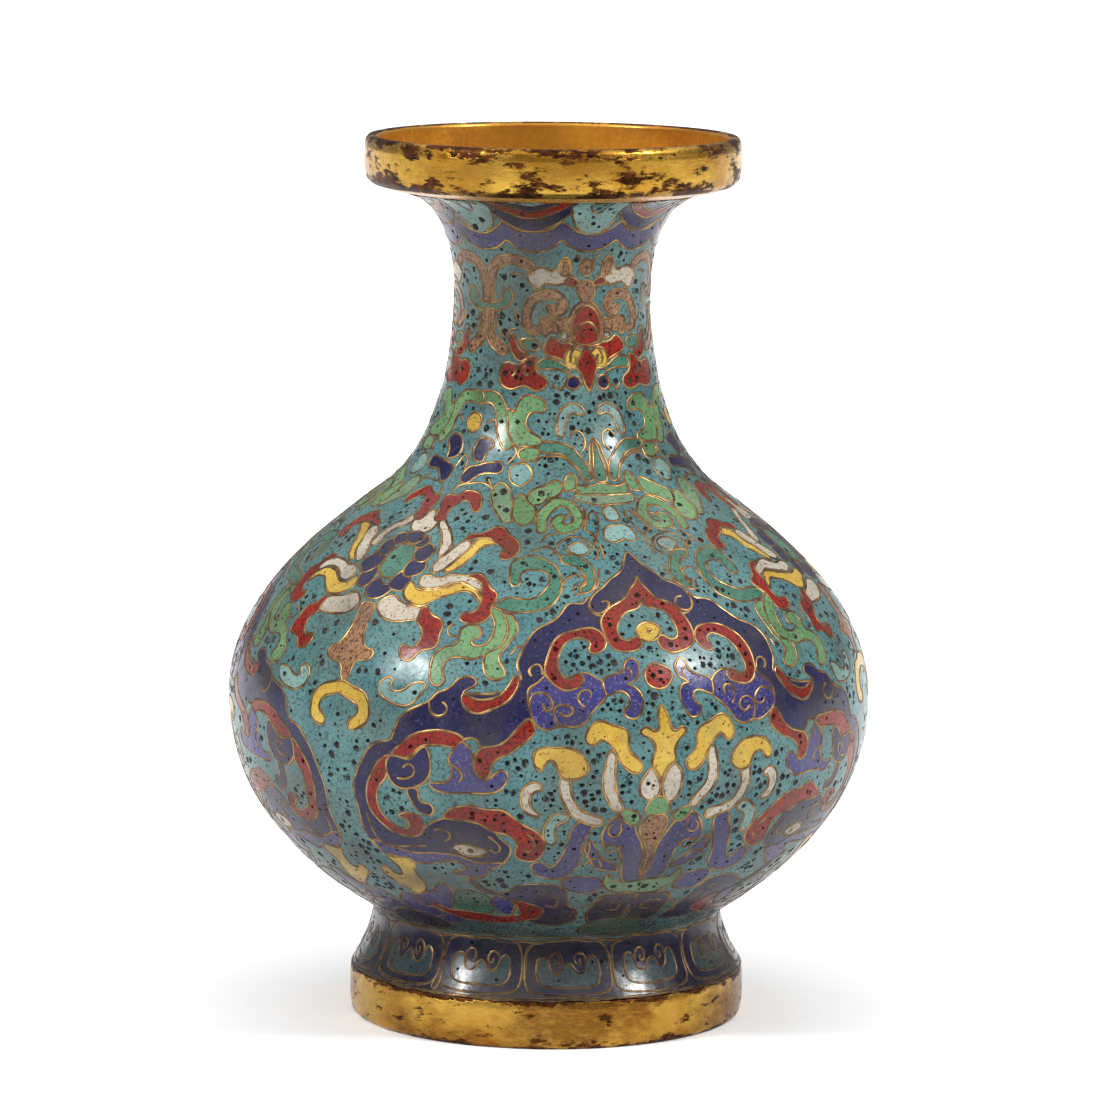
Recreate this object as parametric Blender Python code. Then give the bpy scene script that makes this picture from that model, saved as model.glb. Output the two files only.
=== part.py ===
"""Cloisonne bottle vase: a hammered copper vessel in soldered sections, an enamel coat, gilt rims.

Run with: blender --background --python part.py
Blender works in metres; the dimensions below are in millimetres. +Z is up, and the origin is
the centre of the foot ring's resting face.
"""

import math

import bmesh
import bpy

MM = 0.001
SEGMENTS = 36  # facets round every turned piece, so that nested pieces stay parallel

# Driving dimensions, in mm
HEIGHT = 125.0
BELLY_R, BELLY_Z = 45.4, 45.8
NECK_R, NECK_Z = 13.8, 102.8
WAIST_R, WAIST_Z = 24.7, 15.3  # the crease where the belly meets the foot
FOOT_R, FOOT_TOP_Z = 28.1, 6.8  # the gilt ring round the foot
RIM_R = 26.6
RIM_BORE_R = 24.8
ENAMEL = 0.9
COPPER = 1.1
GAP = 0.05  # clearance between nested pieces
CORE_OUT = ENAMEL + GAP  # depth of the copper's outer face below the enamel's surface
CORE_IN = CORE_OUT + COPPER
CORE_MID = CORE_OUT + COPPER / 2
LAP = 2.4  # overlap of the half-thickness lips where two copper sections are soldered

# The outer surface as Bezier stretches of (radius, height), from the foot ring up to the rim
FOOT_CONE = [(27.8, 7.0), (26.5, 9.2), (WAIST_R, 12.6), (WAIST_R, WAIST_Z)]
LOWER_BELLY = [(WAIST_R, WAIST_Z), (27.2, 17.7), (BELLY_R, 26.3), (BELLY_R, BELLY_Z)]
UPPER_BELLY = [(BELLY_R, BELLY_Z), (BELLY_R, 61.8), (27.4, 72.1), (22.7, 76.3)]
NECK = [(22.7, 76.3), (13.9, 84.0), (NECK_R, 101.0), (NECK_R, NECK_Z)]
FLARE = [(NECK_R, NECK_Z), (NECK_R, 112.0), (17.0, 116.2), (21.0, 117.1)]
FLANGE_TIP = (25.4, 118.1)  # where the copper's flared lip would reach the outer surface

FRETS = 13  # key-fret cells round the foot
FRET_HALF_ANGLE = 12.7  # degrees, to the middle of the fret's wire
FRET_START = -83.1  # degrees from +X to the middle of the first fret
FRET_LOW_Z, FRET_HIGH_Z = 8.1, 14.2
FRET_CORNER = 1.1
WIRE = 0.4

COLOURS = {
    "gilt_bronze": ((0.76, 0.50, 0.16), 0.32, 1.0),
    "cloison_wire": ((0.72, 0.50, 0.24), 0.38, 1.0),
    "copper": ((0.72, 0.36, 0.20), 0.45, 1.0),
    "silver_solder": ((0.66, 0.60, 0.48), 0.42, 1.0),
    "turquoise_enamel": ((0.15, 0.42, 0.42), 0.18, 0.0),
    "cobalt_enamel": ((0.04, 0.04, 0.20), 0.18, 0.0),
}


def material(name):
    found = bpy.data.materials.get(name)
    if found:
        return found
    colour, roughness, metallic = COLOURS[name]
    made = bpy.data.materials.new(name)
    made.use_nodes = True
    shader = made.node_tree.nodes["Principled BSDF"]
    shader.inputs["Base Color"].default_value = (*colour, 1.0)
    shader.inputs["Roughness"].default_value = roughness
    shader.inputs["Metallic"].default_value = metallic
    made.diffuse_color = (*colour, 1.0)
    return made


def finish(name, bm, slot):
    """Turns a bmesh in millimetres into the named object."""
    bmesh.ops.recalc_face_normals(bm, faces=bm.faces)
    bmesh.ops.scale(bm, vec=(MM, MM, MM), verts=bm.verts)
    mesh = bpy.data.meshes.new(name)
    bm.to_mesh(mesh)
    bm.free()
    mesh.materials.append(material(slot))
    mesh.shade_smooth()
    mesh.set_sharp_from_angle(angle=math.radians(35))
    made = bpy.data.objects.new(name, mesh)
    bpy.context.scene.collection.objects.link(made)
    return made


def turned(name, section, slot, on_axis=False):
    """Spins a section of (radius, height) corners about Z. One that starts and ends on the axis
    stays open there; any other is a closed loop, which gives a ring."""
    bm = bmesh.new()
    verts = [bm.verts.new((r, 0, z)) for r, z in section]
    pairs = list(zip(verts, verts[1:] + verts[:1]))
    edges = [bm.edges.new(pair) for pair in (pairs[:-1] if on_axis else pairs)]
    bmesh.ops.spin(
        bm, geom=verts + edges, cent=(0, 0, 0), axis=(0, 0, 1),
        angle=2 * math.pi, steps=SEGMENTS, use_merge=True,
    )
    bmesh.ops.remove_doubles(bm, verts=bm.verts, dist=1e-4)
    return finish(name, bm, slot)


# The outer surface: stations along it, and points at a depth below it


def bezier(span, t):
    """The point and the tangent of a cubic Bezier at t."""
    a, b, c, d = ((1 - t) ** 3, 3 * (1 - t) ** 2 * t, 3 * (1 - t) * t * t, t**3)
    point = [a * p + b * q + c * r + d * s for p, q, r, s in zip(*span)]
    e, f, g = ((1 - t) ** 2, 2 * (1 - t) * t, t * t)
    p, q, r, s = span
    tangent = [e * (q[k] - p[k]) + f * (r[k] - q[k]) + g * (s[k] - r[k]) for k in (0, 1)]
    return point, tangent


def stations(span, count):
    """count + 1 evenly stepped (point, unit outward normal) along a stretch."""
    made = []
    for step in range(count + 1):
        # A handle of no length leaves no tangent at the very end, so it is read just inside.
        (r, z), (dr, dz) = bezier(span, min(max(step / count, 1e-3), 1 - 1e-3))
        (r, z), _ = bezier(span, step / count)
        length = math.hypot(dr, dz)
        made.append(((r, z), (dz / length, -dr / length)))
    return made


def below(station, depth):
    """The point at a depth under the outer surface."""
    (r, z), (nr, nz) = station
    return r - nr * depth, z - nz * depth


def along(start, end, share):
    """A station part of the way from one station to the next."""
    (p, n), (q, m) = start, end
    mix = lambda a, b: a + (b - a) * share
    return (mix(p[0], q[0]), mix(p[1], q[1])), (mix(n[0], m[0]), mix(n[1], m[1]))


def shell(run, outer, inner):
    """A section between two depths along a run of stations."""
    return [below(s, outer) for s in run] + [below(s, inner) for s in reversed(run)]


def lapped_shell(run, lap_above, lap_below):
    """A copper section. Its inner half runs on past the top into the next section up, and its
    inner half starts late at the bottom, to take the lip of the section below."""
    if lap_below:
        run = [along(run[0], run[1], GAP / span_length(run[0], run[1]))] + run[1:]
    out_face = [below(s, CORE_OUT) for s in run]
    in_run = list(run)
    section = out_face
    if lap_above:
        tip = along(run[-1], lap_above, LAP / span_length(run[-1], lap_above))
        section += [below(run[-1], CORE_MID + GAP / 2), below(tip, CORE_MID + GAP / 2)]
        in_run = in_run + [tip]
    if lap_below:
        share = LAP / span_length(run[0], run[1])
        start = along(run[0], run[1], share + GAP)
        in_run = [start] + in_run[1:]
    section += [below(s, CORE_IN) for s in reversed(in_run)]
    if lap_below:
        section += [below(in_run[0], CORE_MID - GAP / 2), below(run[0], CORE_MID - GAP / 2)]
    return section


def span_length(a, b):
    return math.hypot(a[0][0] - b[0][0], a[0][1] - b[0][1])


def bead(start, end, width, height):
    """A ridge of solder on the inner face, where a lap that begins at a station runs out."""
    length = span_length(start, end)
    near, middle, far = (
        along(start, end, (LAP + shift) / length) for shift in (-width / 2, 0, width / 2)
    )
    deep = CORE_IN + GAP
    return [below(near, deep), below(far, deep), below(middle, deep + height)]


# Metal rims


def mouth_rim():
    """The gilt collar: a band, and a lip under it that holds the copper's flared flange."""
    return [
        (21.3, 117.25), (23.6, 117.65), (25.5, 118.25), (26.3, 119.0), (RIM_R, 120.4),
        (RIM_R, 123.4), (26.4, 124.5), (26.0, HEIGHT), (25.2, HEIGHT), (RIM_BORE_R, 124.6),
        (RIM_BORE_R, 118.9), (23.4, 118.55), (21.35, 118.0),
    ]


def foot_rim():
    """The gilt ring the vase stands on, with a ledge inside for the base plate."""
    lip_r, seat_r, ledge_z = 24.8, 27.0, 5.0
    return [
        (25.2, 0.0), (27.4, 0.0), (27.85, 0.5), (FOOT_R, 2.2), (FOOT_R, 5.6),
        (27.95, FOOT_TOP_Z), (seat_r, FOOT_TOP_Z), (seat_r, ledge_z), (lip_r, ledge_z), (lip_r, 0.4),
    ]


# The foot's key-fret cloisons


def fret_columns(grow):
    """The fret's rounded outline as (angle from its middle, low height, high height) columns.
    grow moves the outline outwards, in mm."""
    reach = FRET_HALF_ANGLE + math.degrees(grow / WAIST_R)
    corner = FRET_CORNER + grow
    half = []
    for turn in (0, 45, 90):
        lean = math.radians(turn)
        angle = reach - math.degrees(corner * (1 - math.cos(lean)) / WAIST_R)
        rise = corner * (1 - math.sin(lean)) - grow
        half.append((angle, FRET_LOW_Z + rise, FRET_HIGH_Z - rise))
    facet = 360 / SEGMENTS / 2
    left = [(-a, low, high) for a, low, high in half] + [(-facet, half[-1][1], half[-1][2])]
    return left + [(-a, low, high) for a, low, high in reversed(left)]


def foot_station(z):
    """The foot cone's outer surface at a height."""
    run = stations(FOOT_CONE, 12)
    for lower, upper in zip(run, run[1:]):
        if lower[0][1] <= z <= upper[0][1]:
            return along(lower, upper, (z - lower[0][1]) / (upper[0][1] - lower[0][1]))
    raise ValueError(f"{z} mm is not on the foot cone")


def foot_point(angle, z, depth):
    r, height = below(foot_station(z), depth)
    turn = math.radians(angle)
    return r * math.cos(turn), r * math.sin(turn), height


def curved_block(bm, centre, columns, shallow, deep, rows=1):
    """A slab of the foot between two depths, bent round with it, as one closed body."""
    grid = []
    for angle, low, high in columns:
        heights = [low + (high - low) * row / rows for row in range(rows + 1)]
        grid.append([
            [bm.verts.new(foot_point(centre + angle, z, depth)) for z in heights]
            for depth in (shallow, deep)
        ])
    for left, right in zip(grid, grid[1:]):
        for side in (0, 1):
            for row in range(rows):
                bm.faces.new((left[side][row], right[side][row],
                              right[side][row + 1], left[side][row + 1]))
        for row in (0, rows):
            bm.faces.new((left[0][row], right[0][row], right[1][row], left[1][row]))
    for end in (grid[0], grid[-1]):
        for row in range(rows):
            bm.faces.new((end[0][row], end[0][row + 1], end[1][row + 1], end[1][row]))


def wire_loop(bm, centre, shallow, deep):
    """A flat wire on edge along the fret's outline, as one closed frame."""
    loops = []
    for grow in (WIRE / 2, -WIRE / 2):
        columns = fret_columns(grow)
        low = [(angle, z) for angle, z, _ in columns]
        high = [(angle, z) for angle, _, z in reversed(columns)]
        middle = (FRET_LOW_Z + FRET_HIGH_Z) / 2
        outline = low + [(columns[-1][0], middle)] + high + [(columns[0][0], middle)]
        for depth in (shallow, deep):
            loops.append([bm.verts.new(foot_point(centre + a, z, depth)) for a, z in outline])
    outer_top, outer_low, inner_top, inner_low = loops
    ring = [outer_top, outer_low, inner_low, inner_top]
    count = len(outer_top)
    for one, two in zip(ring, ring[1:] + ring[:1]):
        for k in range(count):
            n = (k + 1) % count
            bm.faces.new((one[k], one[n], two[n], two[k]))


def cut(body, cutter):
    """Takes the cutter's shape out of a body and leaves the cutter as a hidden helper."""
    modifier = body.modifiers.new("windows", "BOOLEAN")
    modifier.operation = "DIFFERENCE"
    modifier.solver = "EXACT"
    modifier.object = cutter
    cutter.hide_render = True
    cutter.display_type = "WIRE"


# The assembly


def copper_sections(foot, lower, upper, neck, flare):
    flange = [along(flare[-1], (FLANGE_TIP, flare[-1][1]), share) for share in (0.45, 0.83)]
    neck_run = neck[2:] + flare[1:] + flange
    turned("neck_core", lapped_shell(neck_run, None, True), "copper")
    turned("shoulder_core", lapped_shell(upper + neck[1:3], neck[3], True), "copper")

    bowl = lapped_shell(lower, upper[1], None)
    floor_under = [(22.6, 14.62), (20.5, 13.55), (16.0, 12.9), (0.0, 12.6)]
    floor_inside = [(0.0, 13.7), (15.8, 14.0), (20.0, 14.65), (21.9, 15.55)]
    start = bowl.index(below(lower[0], CORE_OUT))
    turned("belly_core", floor_inside + bowl[::-1][:len(bowl) - start] + floor_under,
           "copper", on_axis=True)

    seat_z = 5.0 + GAP  # stands on the foot rim's ledge
    wall_out, wall_in = 26.8, 25.75
    under_frets = CORE_OUT + 0.12  # a straight facet passes outside a hollow curve
    cone = foot[1:-1]
    turned("foot_core", (
        [(wall_out, seat_z), (wall_out, FOOT_TOP_Z)] + [below(s, under_frets) for s in cone]
        + [(23.75, 15.25), (22.65, 14.4)] + [below(s, CORE_IN) for s in reversed(cone)]
        + [(wall_in, FOOT_TOP_Z), (wall_in, seat_z)]
    ), "copper")
    plate_r = wall_in - GAP
    turned("base_plate", [(0, seat_z), (plate_r, seat_z), (plate_r, seat_z + COPPER),
                          (0, seat_z + COPPER)], "gilt_bronze", on_axis=True)


def solder_seams(upper, neck):
    turned("neck_seam_solder", bead(neck[2], neck[3], 1.6, 0.5), "silver_solder")
    turned("belly_seam_solder", bead(upper[0], upper[1], 1.8, 0.55), "silver_solder")
    turned("foot_seam_solder", [(22.5, 12.9), (22.5, 14.2), (21.2, 13.7)], "silver_solder")
    turned("base_seam_solder", [(25.75, 6.25), (25.75, 6.75), (25.0, 6.25)], "silver_solder")
    turned("rim_seam_solder", [(24.72, 120.35), (24.72, 121.0), (23.9, 120.2)], "silver_solder")


def enamel_coats(foot, lower, upper, neck, flare):
    """The fused glass coat, one node for each field of the decoration."""
    fields = {
        "underbelly_enamel": lower[:4],
        "belly_enamel": lower[3:] + upper[1:3],
        "shoulder_enamel": upper[2:] + neck[1:2],
        "neck_enamel": neck[1:] + flare[1:2],
        "collar_enamel": flare[1:],
    }
    for name, run in fields.items():
        start = along(run[0], run[1], GAP / span_length(run[0], run[1]))
        turned(name, shell([start] + run[1:], 0.0, ENAMEL), "turquoise_enamel")


def foot_band():
    """The foot's enamel ground with a window at each fret, and the frets' wires and cells."""
    low_z = 7.25
    rise = [foot_station(z) for z in (low_z, 8.9, 10.8, 12.7, 14.9)]
    section = shell(rise, 0.0, ENAMEL)
    section[-1] = (26.75, low_z)  # the coat ends level, on the border wire
    ground = turned("foot_enamel", section, "turquoise_enamel")
    windows = bmesh.new()
    for k in range(FRETS):
        centre = FRET_START + 360 / FRETS * k
        curved_block(windows, centre, fret_columns(WIRE / 2 + GAP), -1.0, ENAMEL + 1.0)
        wire = bmesh.new()
        wire_loop(wire, centre, 0.0, ENAMEL)
        finish(f"foot_fret_wire_{k + 1:02d}", wire, "cloison_wire")
        cell = bmesh.new()
        curved_block(cell, centre, fret_columns(-WIRE / 2 - GAP), 0.0, ENAMEL)
        finish(f"foot_fret_cell_{k + 1:02d}", cell, "cobalt_enamel")
    cut(ground, finish("fret_windows", windows, "cobalt_enamel"))


def border_wires():
    """The plain rings of wire that close the decoration above and below."""
    turned("foot_border_wire", [(27.0, 6.86), (27.85, 6.86), (27.65, 7.18), (27.0, 7.18)],
           "cloison_wire")
    turned("waist_border_wire", [(23.9, 14.98), (WAIST_R, 14.98), (WAIST_R, 15.22), (23.9, 15.22)],
           "cloison_wire")


def main():
    for old in list(bpy.data.objects):
        bpy.data.objects.remove(old)
    foot = stations(FOOT_CONE, 4)
    lower = stations(LOWER_BELLY, 6)
    upper = stations(UPPER_BELLY, 5)
    neck = stations(NECK, 5)
    flare = stations(FLARE, 4)
    turned("mouth_rim", mouth_rim(), "gilt_bronze")
    turned("foot_rim", foot_rim(), "gilt_bronze")
    copper_sections(foot, lower, upper, neck, flare)
    solder_seams(upper, neck)
    enamel_coats(foot, lower, upper, neck, flare)
    foot_band()
    border_wires()


main()
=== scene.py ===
"""Looks of a small cloisonne vase: the enamel mosaic, its gilt wires, the gilt rims and the studio.

Places on the vase are given as (angle, height): degrees round from the front, positive to the right, and
millimetres along the profile, up from the lower edge of the foot's enamel."""

import math

import bpy
import numpy as np
from mathutils import Matrix, Vector
from mathutils.geometry import delaunay_2d_cdt


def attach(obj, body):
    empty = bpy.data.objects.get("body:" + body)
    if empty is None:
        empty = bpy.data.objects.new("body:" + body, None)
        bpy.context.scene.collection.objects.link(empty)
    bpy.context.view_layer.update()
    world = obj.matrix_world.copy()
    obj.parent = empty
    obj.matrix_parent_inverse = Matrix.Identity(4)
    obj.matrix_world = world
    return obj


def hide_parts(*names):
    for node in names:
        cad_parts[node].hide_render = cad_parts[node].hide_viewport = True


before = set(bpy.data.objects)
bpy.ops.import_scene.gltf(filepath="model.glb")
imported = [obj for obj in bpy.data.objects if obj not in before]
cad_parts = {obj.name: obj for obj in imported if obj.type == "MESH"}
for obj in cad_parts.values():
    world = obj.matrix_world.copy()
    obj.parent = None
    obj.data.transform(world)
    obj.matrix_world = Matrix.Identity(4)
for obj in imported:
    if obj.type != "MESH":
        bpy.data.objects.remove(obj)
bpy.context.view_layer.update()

MM = 0.001
FULL = 2 * math.pi

# ---------------------------------------------------------------- profile, the same as the CAD model's

SPANS = [
    [(27.8, 7.0), (26.5, 9.2), (24.7, 12.6), (24.7, 15.3)],
    [(24.7, 15.3), (27.2, 17.7), (45.4, 26.3), (45.4, 45.8)],
    [(45.4, 45.8), (45.4, 61.8), (27.4, 72.1), (22.7, 76.3)],
    [(22.7, 76.3), (13.9, 84.0), (13.8, 101.0), (13.8, 102.8)],
    [(13.8, 102.8), (13.8, 112.0), (17.0, 116.2), (21.0, 117.1)],
]
SPAN_POINTS = 200


def bezier(knots):
    t = np.linspace(0, 1, SPAN_POINTS)[:, None]
    a, b, c, d = np.array(knots, float)
    return (1 - t) ** 3 * a + 3 * (1 - t) ** 2 * t * b + 3 * (1 - t) * t * t * c + t**3 * d


PROFILE = np.concatenate([bezier(SPANS[0])] + [bezier(knots)[1:] for knots in SPANS[1:]])
STEPS = np.linalg.norm(np.diff(PROFILE, axis=0), axis=1)
UP = np.concatenate([[0], np.cumsum(STEPS)])
MIDDLES = (PROFILE[1:, 0] + PROFILE[:-1, 0]) / 2
FLAT = np.concatenate([[0], np.cumsum(STEPS / MIDDLES)])  # height on a plane that keeps every angle
SLOPE = np.gradient(PROFILE, axis=0)
SLOPE /= np.linalg.norm(SLOPE, axis=1)[:, None]
BAND_TOPS = (SPANS[0][-1][1], SPANS[1][-1][1], 78.0, SPANS[-1][-1][1])  # heights in mm where the bands end
WAIST_UP, BELLY_UP, NECK_UP, TOP_UP = (float(np.interp(z, PROFILE[:, 1], UP)) for z in BAND_TOPS)


def radius_at(flat):
    return np.interp(flat, FLAT, PROFILE[:, 0])


def to_plane(points):
    """(degrees, mm up) to the plane of (radians, FLAT), which the whole pattern is drawn on."""
    p = np.asarray(points, float)
    return np.column_stack([np.radians(p[:, 0]), np.interp(p[:, 1], UP, FLAT)])


def ripple(x, y):
    """Slow unevenness of the polished enamel, in mm."""
    return 0.03 * (np.sin(9 * x + 7 * y) + np.sin(14 * x - 11 * y + 2) + 0.6 * np.sin(31 * x + 23 * y + 1))


def place(xy, lift=0.0, across=0.0, heading=None):
    """Plane points to metres, lifted off the surface and moved across the heading by some mm."""
    x, y = xy[:, 0], xy[:, 1]
    r, z = radius_at(y), np.interp(y, FLAT, PROFILE[:, 1])
    dr, dz = np.interp(y, FLAT, SLOPE[:, 0]), np.interp(y, FLAT, SLOPE[:, 1])
    lift = lift + ripple(x, y)
    r, z = r + dz * lift, z - dr * lift
    sine, cosine = np.sin(x), np.cos(x)
    out = np.column_stack([r * sine, -r * cosine, z])
    if heading is not None:
        ring = np.column_stack([cosine, sine, 0 * x])
        rise = np.column_stack([dr * sine, -dr * cosine, dz])
        out += np.reshape(across, (-1, 1)) * (heading[:, :1] * rise - heading[:, 1:] * ring)
    return out * MM


# ---------------------------------------------------------------- drawing on the plane

STEP = 0.42  # mm between points of a drawn line
CORNER = 1e-4  # root distance under which two points are one
DISC_POINTS = 20


def smooth(points, closed):
    """A curve through the points. A point given twice is a corner."""
    p = to_plane(points)
    n = len(p)
    out = []
    for i in range(n if closed else n - 1):
        a, b, c, d = (p[j % n] if closed else p[min(max(j, 0), n - 1)] for j in (i - 1, i, i + 1, i + 2))
        span = np.linalg.norm(c - b)
        if span < CORNER**2:
            continue
        before, here, after = (np.linalg.norm(v) ** 0.5 for v in (b - a, c - b, d - c))
        start = end = c - b
        if before > CORNER:
            start = start + here * ((b - a) / before - (c - a) / (before + here))
        if after > CORNER:
            end = end + here * ((d - c) / after - (d - b) / (after + here))
        steps = max(1, int(span * radius_at(b[1]) / STEP))
        t = np.arange(steps)[:, None] / steps
        rise, fall = t * t * (3 - 2 * t), (1 - t) ** 2
        out.append((1 - rise) * b + t * fall * start + rise * c + t * t * (t - 1) * end)
    if not closed:
        out.append(p[-1:])
    return np.concatenate(out)


def blob(points):
    return smooth(points, True)


def straight(points):
    return smooth([p for p in points for _ in range(2)], True)


def half(points, axis, pointed=False):
    """A closed outline from the points on one side of the axis, which it starts and ends on."""
    side = [(axis if i in (0, len(points) - 1) else a, s) for i, (a, s) in enumerate(points)]
    other = [(2 * axis - a, s) for a, s in reversed(side) if abs(a - axis) > 1e-6]
    return smooth(side[:1] * pointed + side + other, True)


def disc(angle, up, across, tall=None):
    """An ellipse: its half width and half height in mm."""
    centre = to_plane([(angle, up)])[0]
    t = np.arange(DISC_POINTS)[:, None] * FULL / DISC_POINTS
    size = np.array([across, tall or across]) / radius_at(centre[1])
    return centre + np.hstack([np.cos(t), np.sin(t)]) * size


def ribbon(points, width):
    """A strip along a smooth line, with round ends."""
    line = smooth(points, False)
    ahead = np.gradient(line, axis=0)
    ahead *= (width / 2 / radius_at(line[:, 1]) / np.linalg.norm(ahead, axis=1))[:, None]
    side = ahead[:, ::-1] * (-1, 1)
    turn = np.radians([45, 90, 135])[:, None]
    end = line[-1] + side[-1] * np.cos(turn) + ahead[-1] * np.sin(turn)
    start = line[0] - side[0] * np.cos(turn) - ahead[0] * np.sin(turn)
    return np.concatenate([line + side, end, (line - side)[::-1], start])


def wander(xy):
    """The unsteadiness of bent wire, so that no two copies of a motif are alike."""
    x, y = xy[:, 0], xy[:, 1]
    dx = 0.16 * np.sin(23 * x + 31 * y) + 0.12 * np.sin(41 * x - 37 * y + 2) + 0.3 * np.sin(5 * x - 9 * y)
    dy = 0.16 * np.sin(29 * x - 27 * y + 1) + 0.12 * np.sin(37 * x + 43 * y)
    dy += 0.25 * np.sin(4 * x + 7 * y + 3)
    reach = np.clip((radius_at(y) - 8) / 26, 0.25, 1) * np.clip((y - FLAT[0]) / 0.4, 0.2, 1)
    return xy + np.column_stack([dx, dy]) * (reach / radius_at(y))[:, None]


LOOPS = []  # (outline, cell number), later ones on top
COLOURS = ["turquoise"]  # colour of each cell; cell 0 is the ground
CELLS = {}  # number of each cell that an outline made
LINES = []  # wires that end inside a cell
REPEATS = 3
LAPPET = 20  # degrees to the middle of the lappet in front, a mirror axis of the pattern
FLOWER = -40  # degrees to the middle of the flower beside it, the other mirror axis


def repeat(shape, axis):
    """The shape in each third of the pattern, and mirrored about the lappet unless it lies on an axis."""
    for k in range(REPEATS):
        turn = np.array([k * FULL / REPEATS, 0])
        yield (k, False), shape + turn
        if axis is None:
            yield (k, True), shape * (-1, 1) + turn + (math.radians(2 * LAPPET), 0)


def around(shape):
    """The shape, and its copy a turn away where it crosses the back seam."""
    shape = shape - (FULL * round(shape[:, 0].mean() / FULL), 0)
    for shift in (-FULL, 0, FULL):
        moved = shape + (shift, 0)
        if moved[:, 0].max() > -math.pi and moved[:, 0].min() < math.pi:
            yield moved


def fill(key, colour, shape):
    if key not in CELLS:
        CELLS[key] = len(COLOURS)
        COLOURS.append(colour)
    LOOPS.extend((wander(moved), CELLS[key]) for moved in around(shape))


def paint(name, colour, shape, axis=None):
    for copy, moved in repeat(shape, axis):
        fill((name, copy), colour, moved)


def line(points, axis=None):
    for _, moved in repeat(smooth(points, False), axis):
        LINES.extend(wander(m) for m in around(moved))


# ---------------------------------------------------------------- the belly


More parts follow.
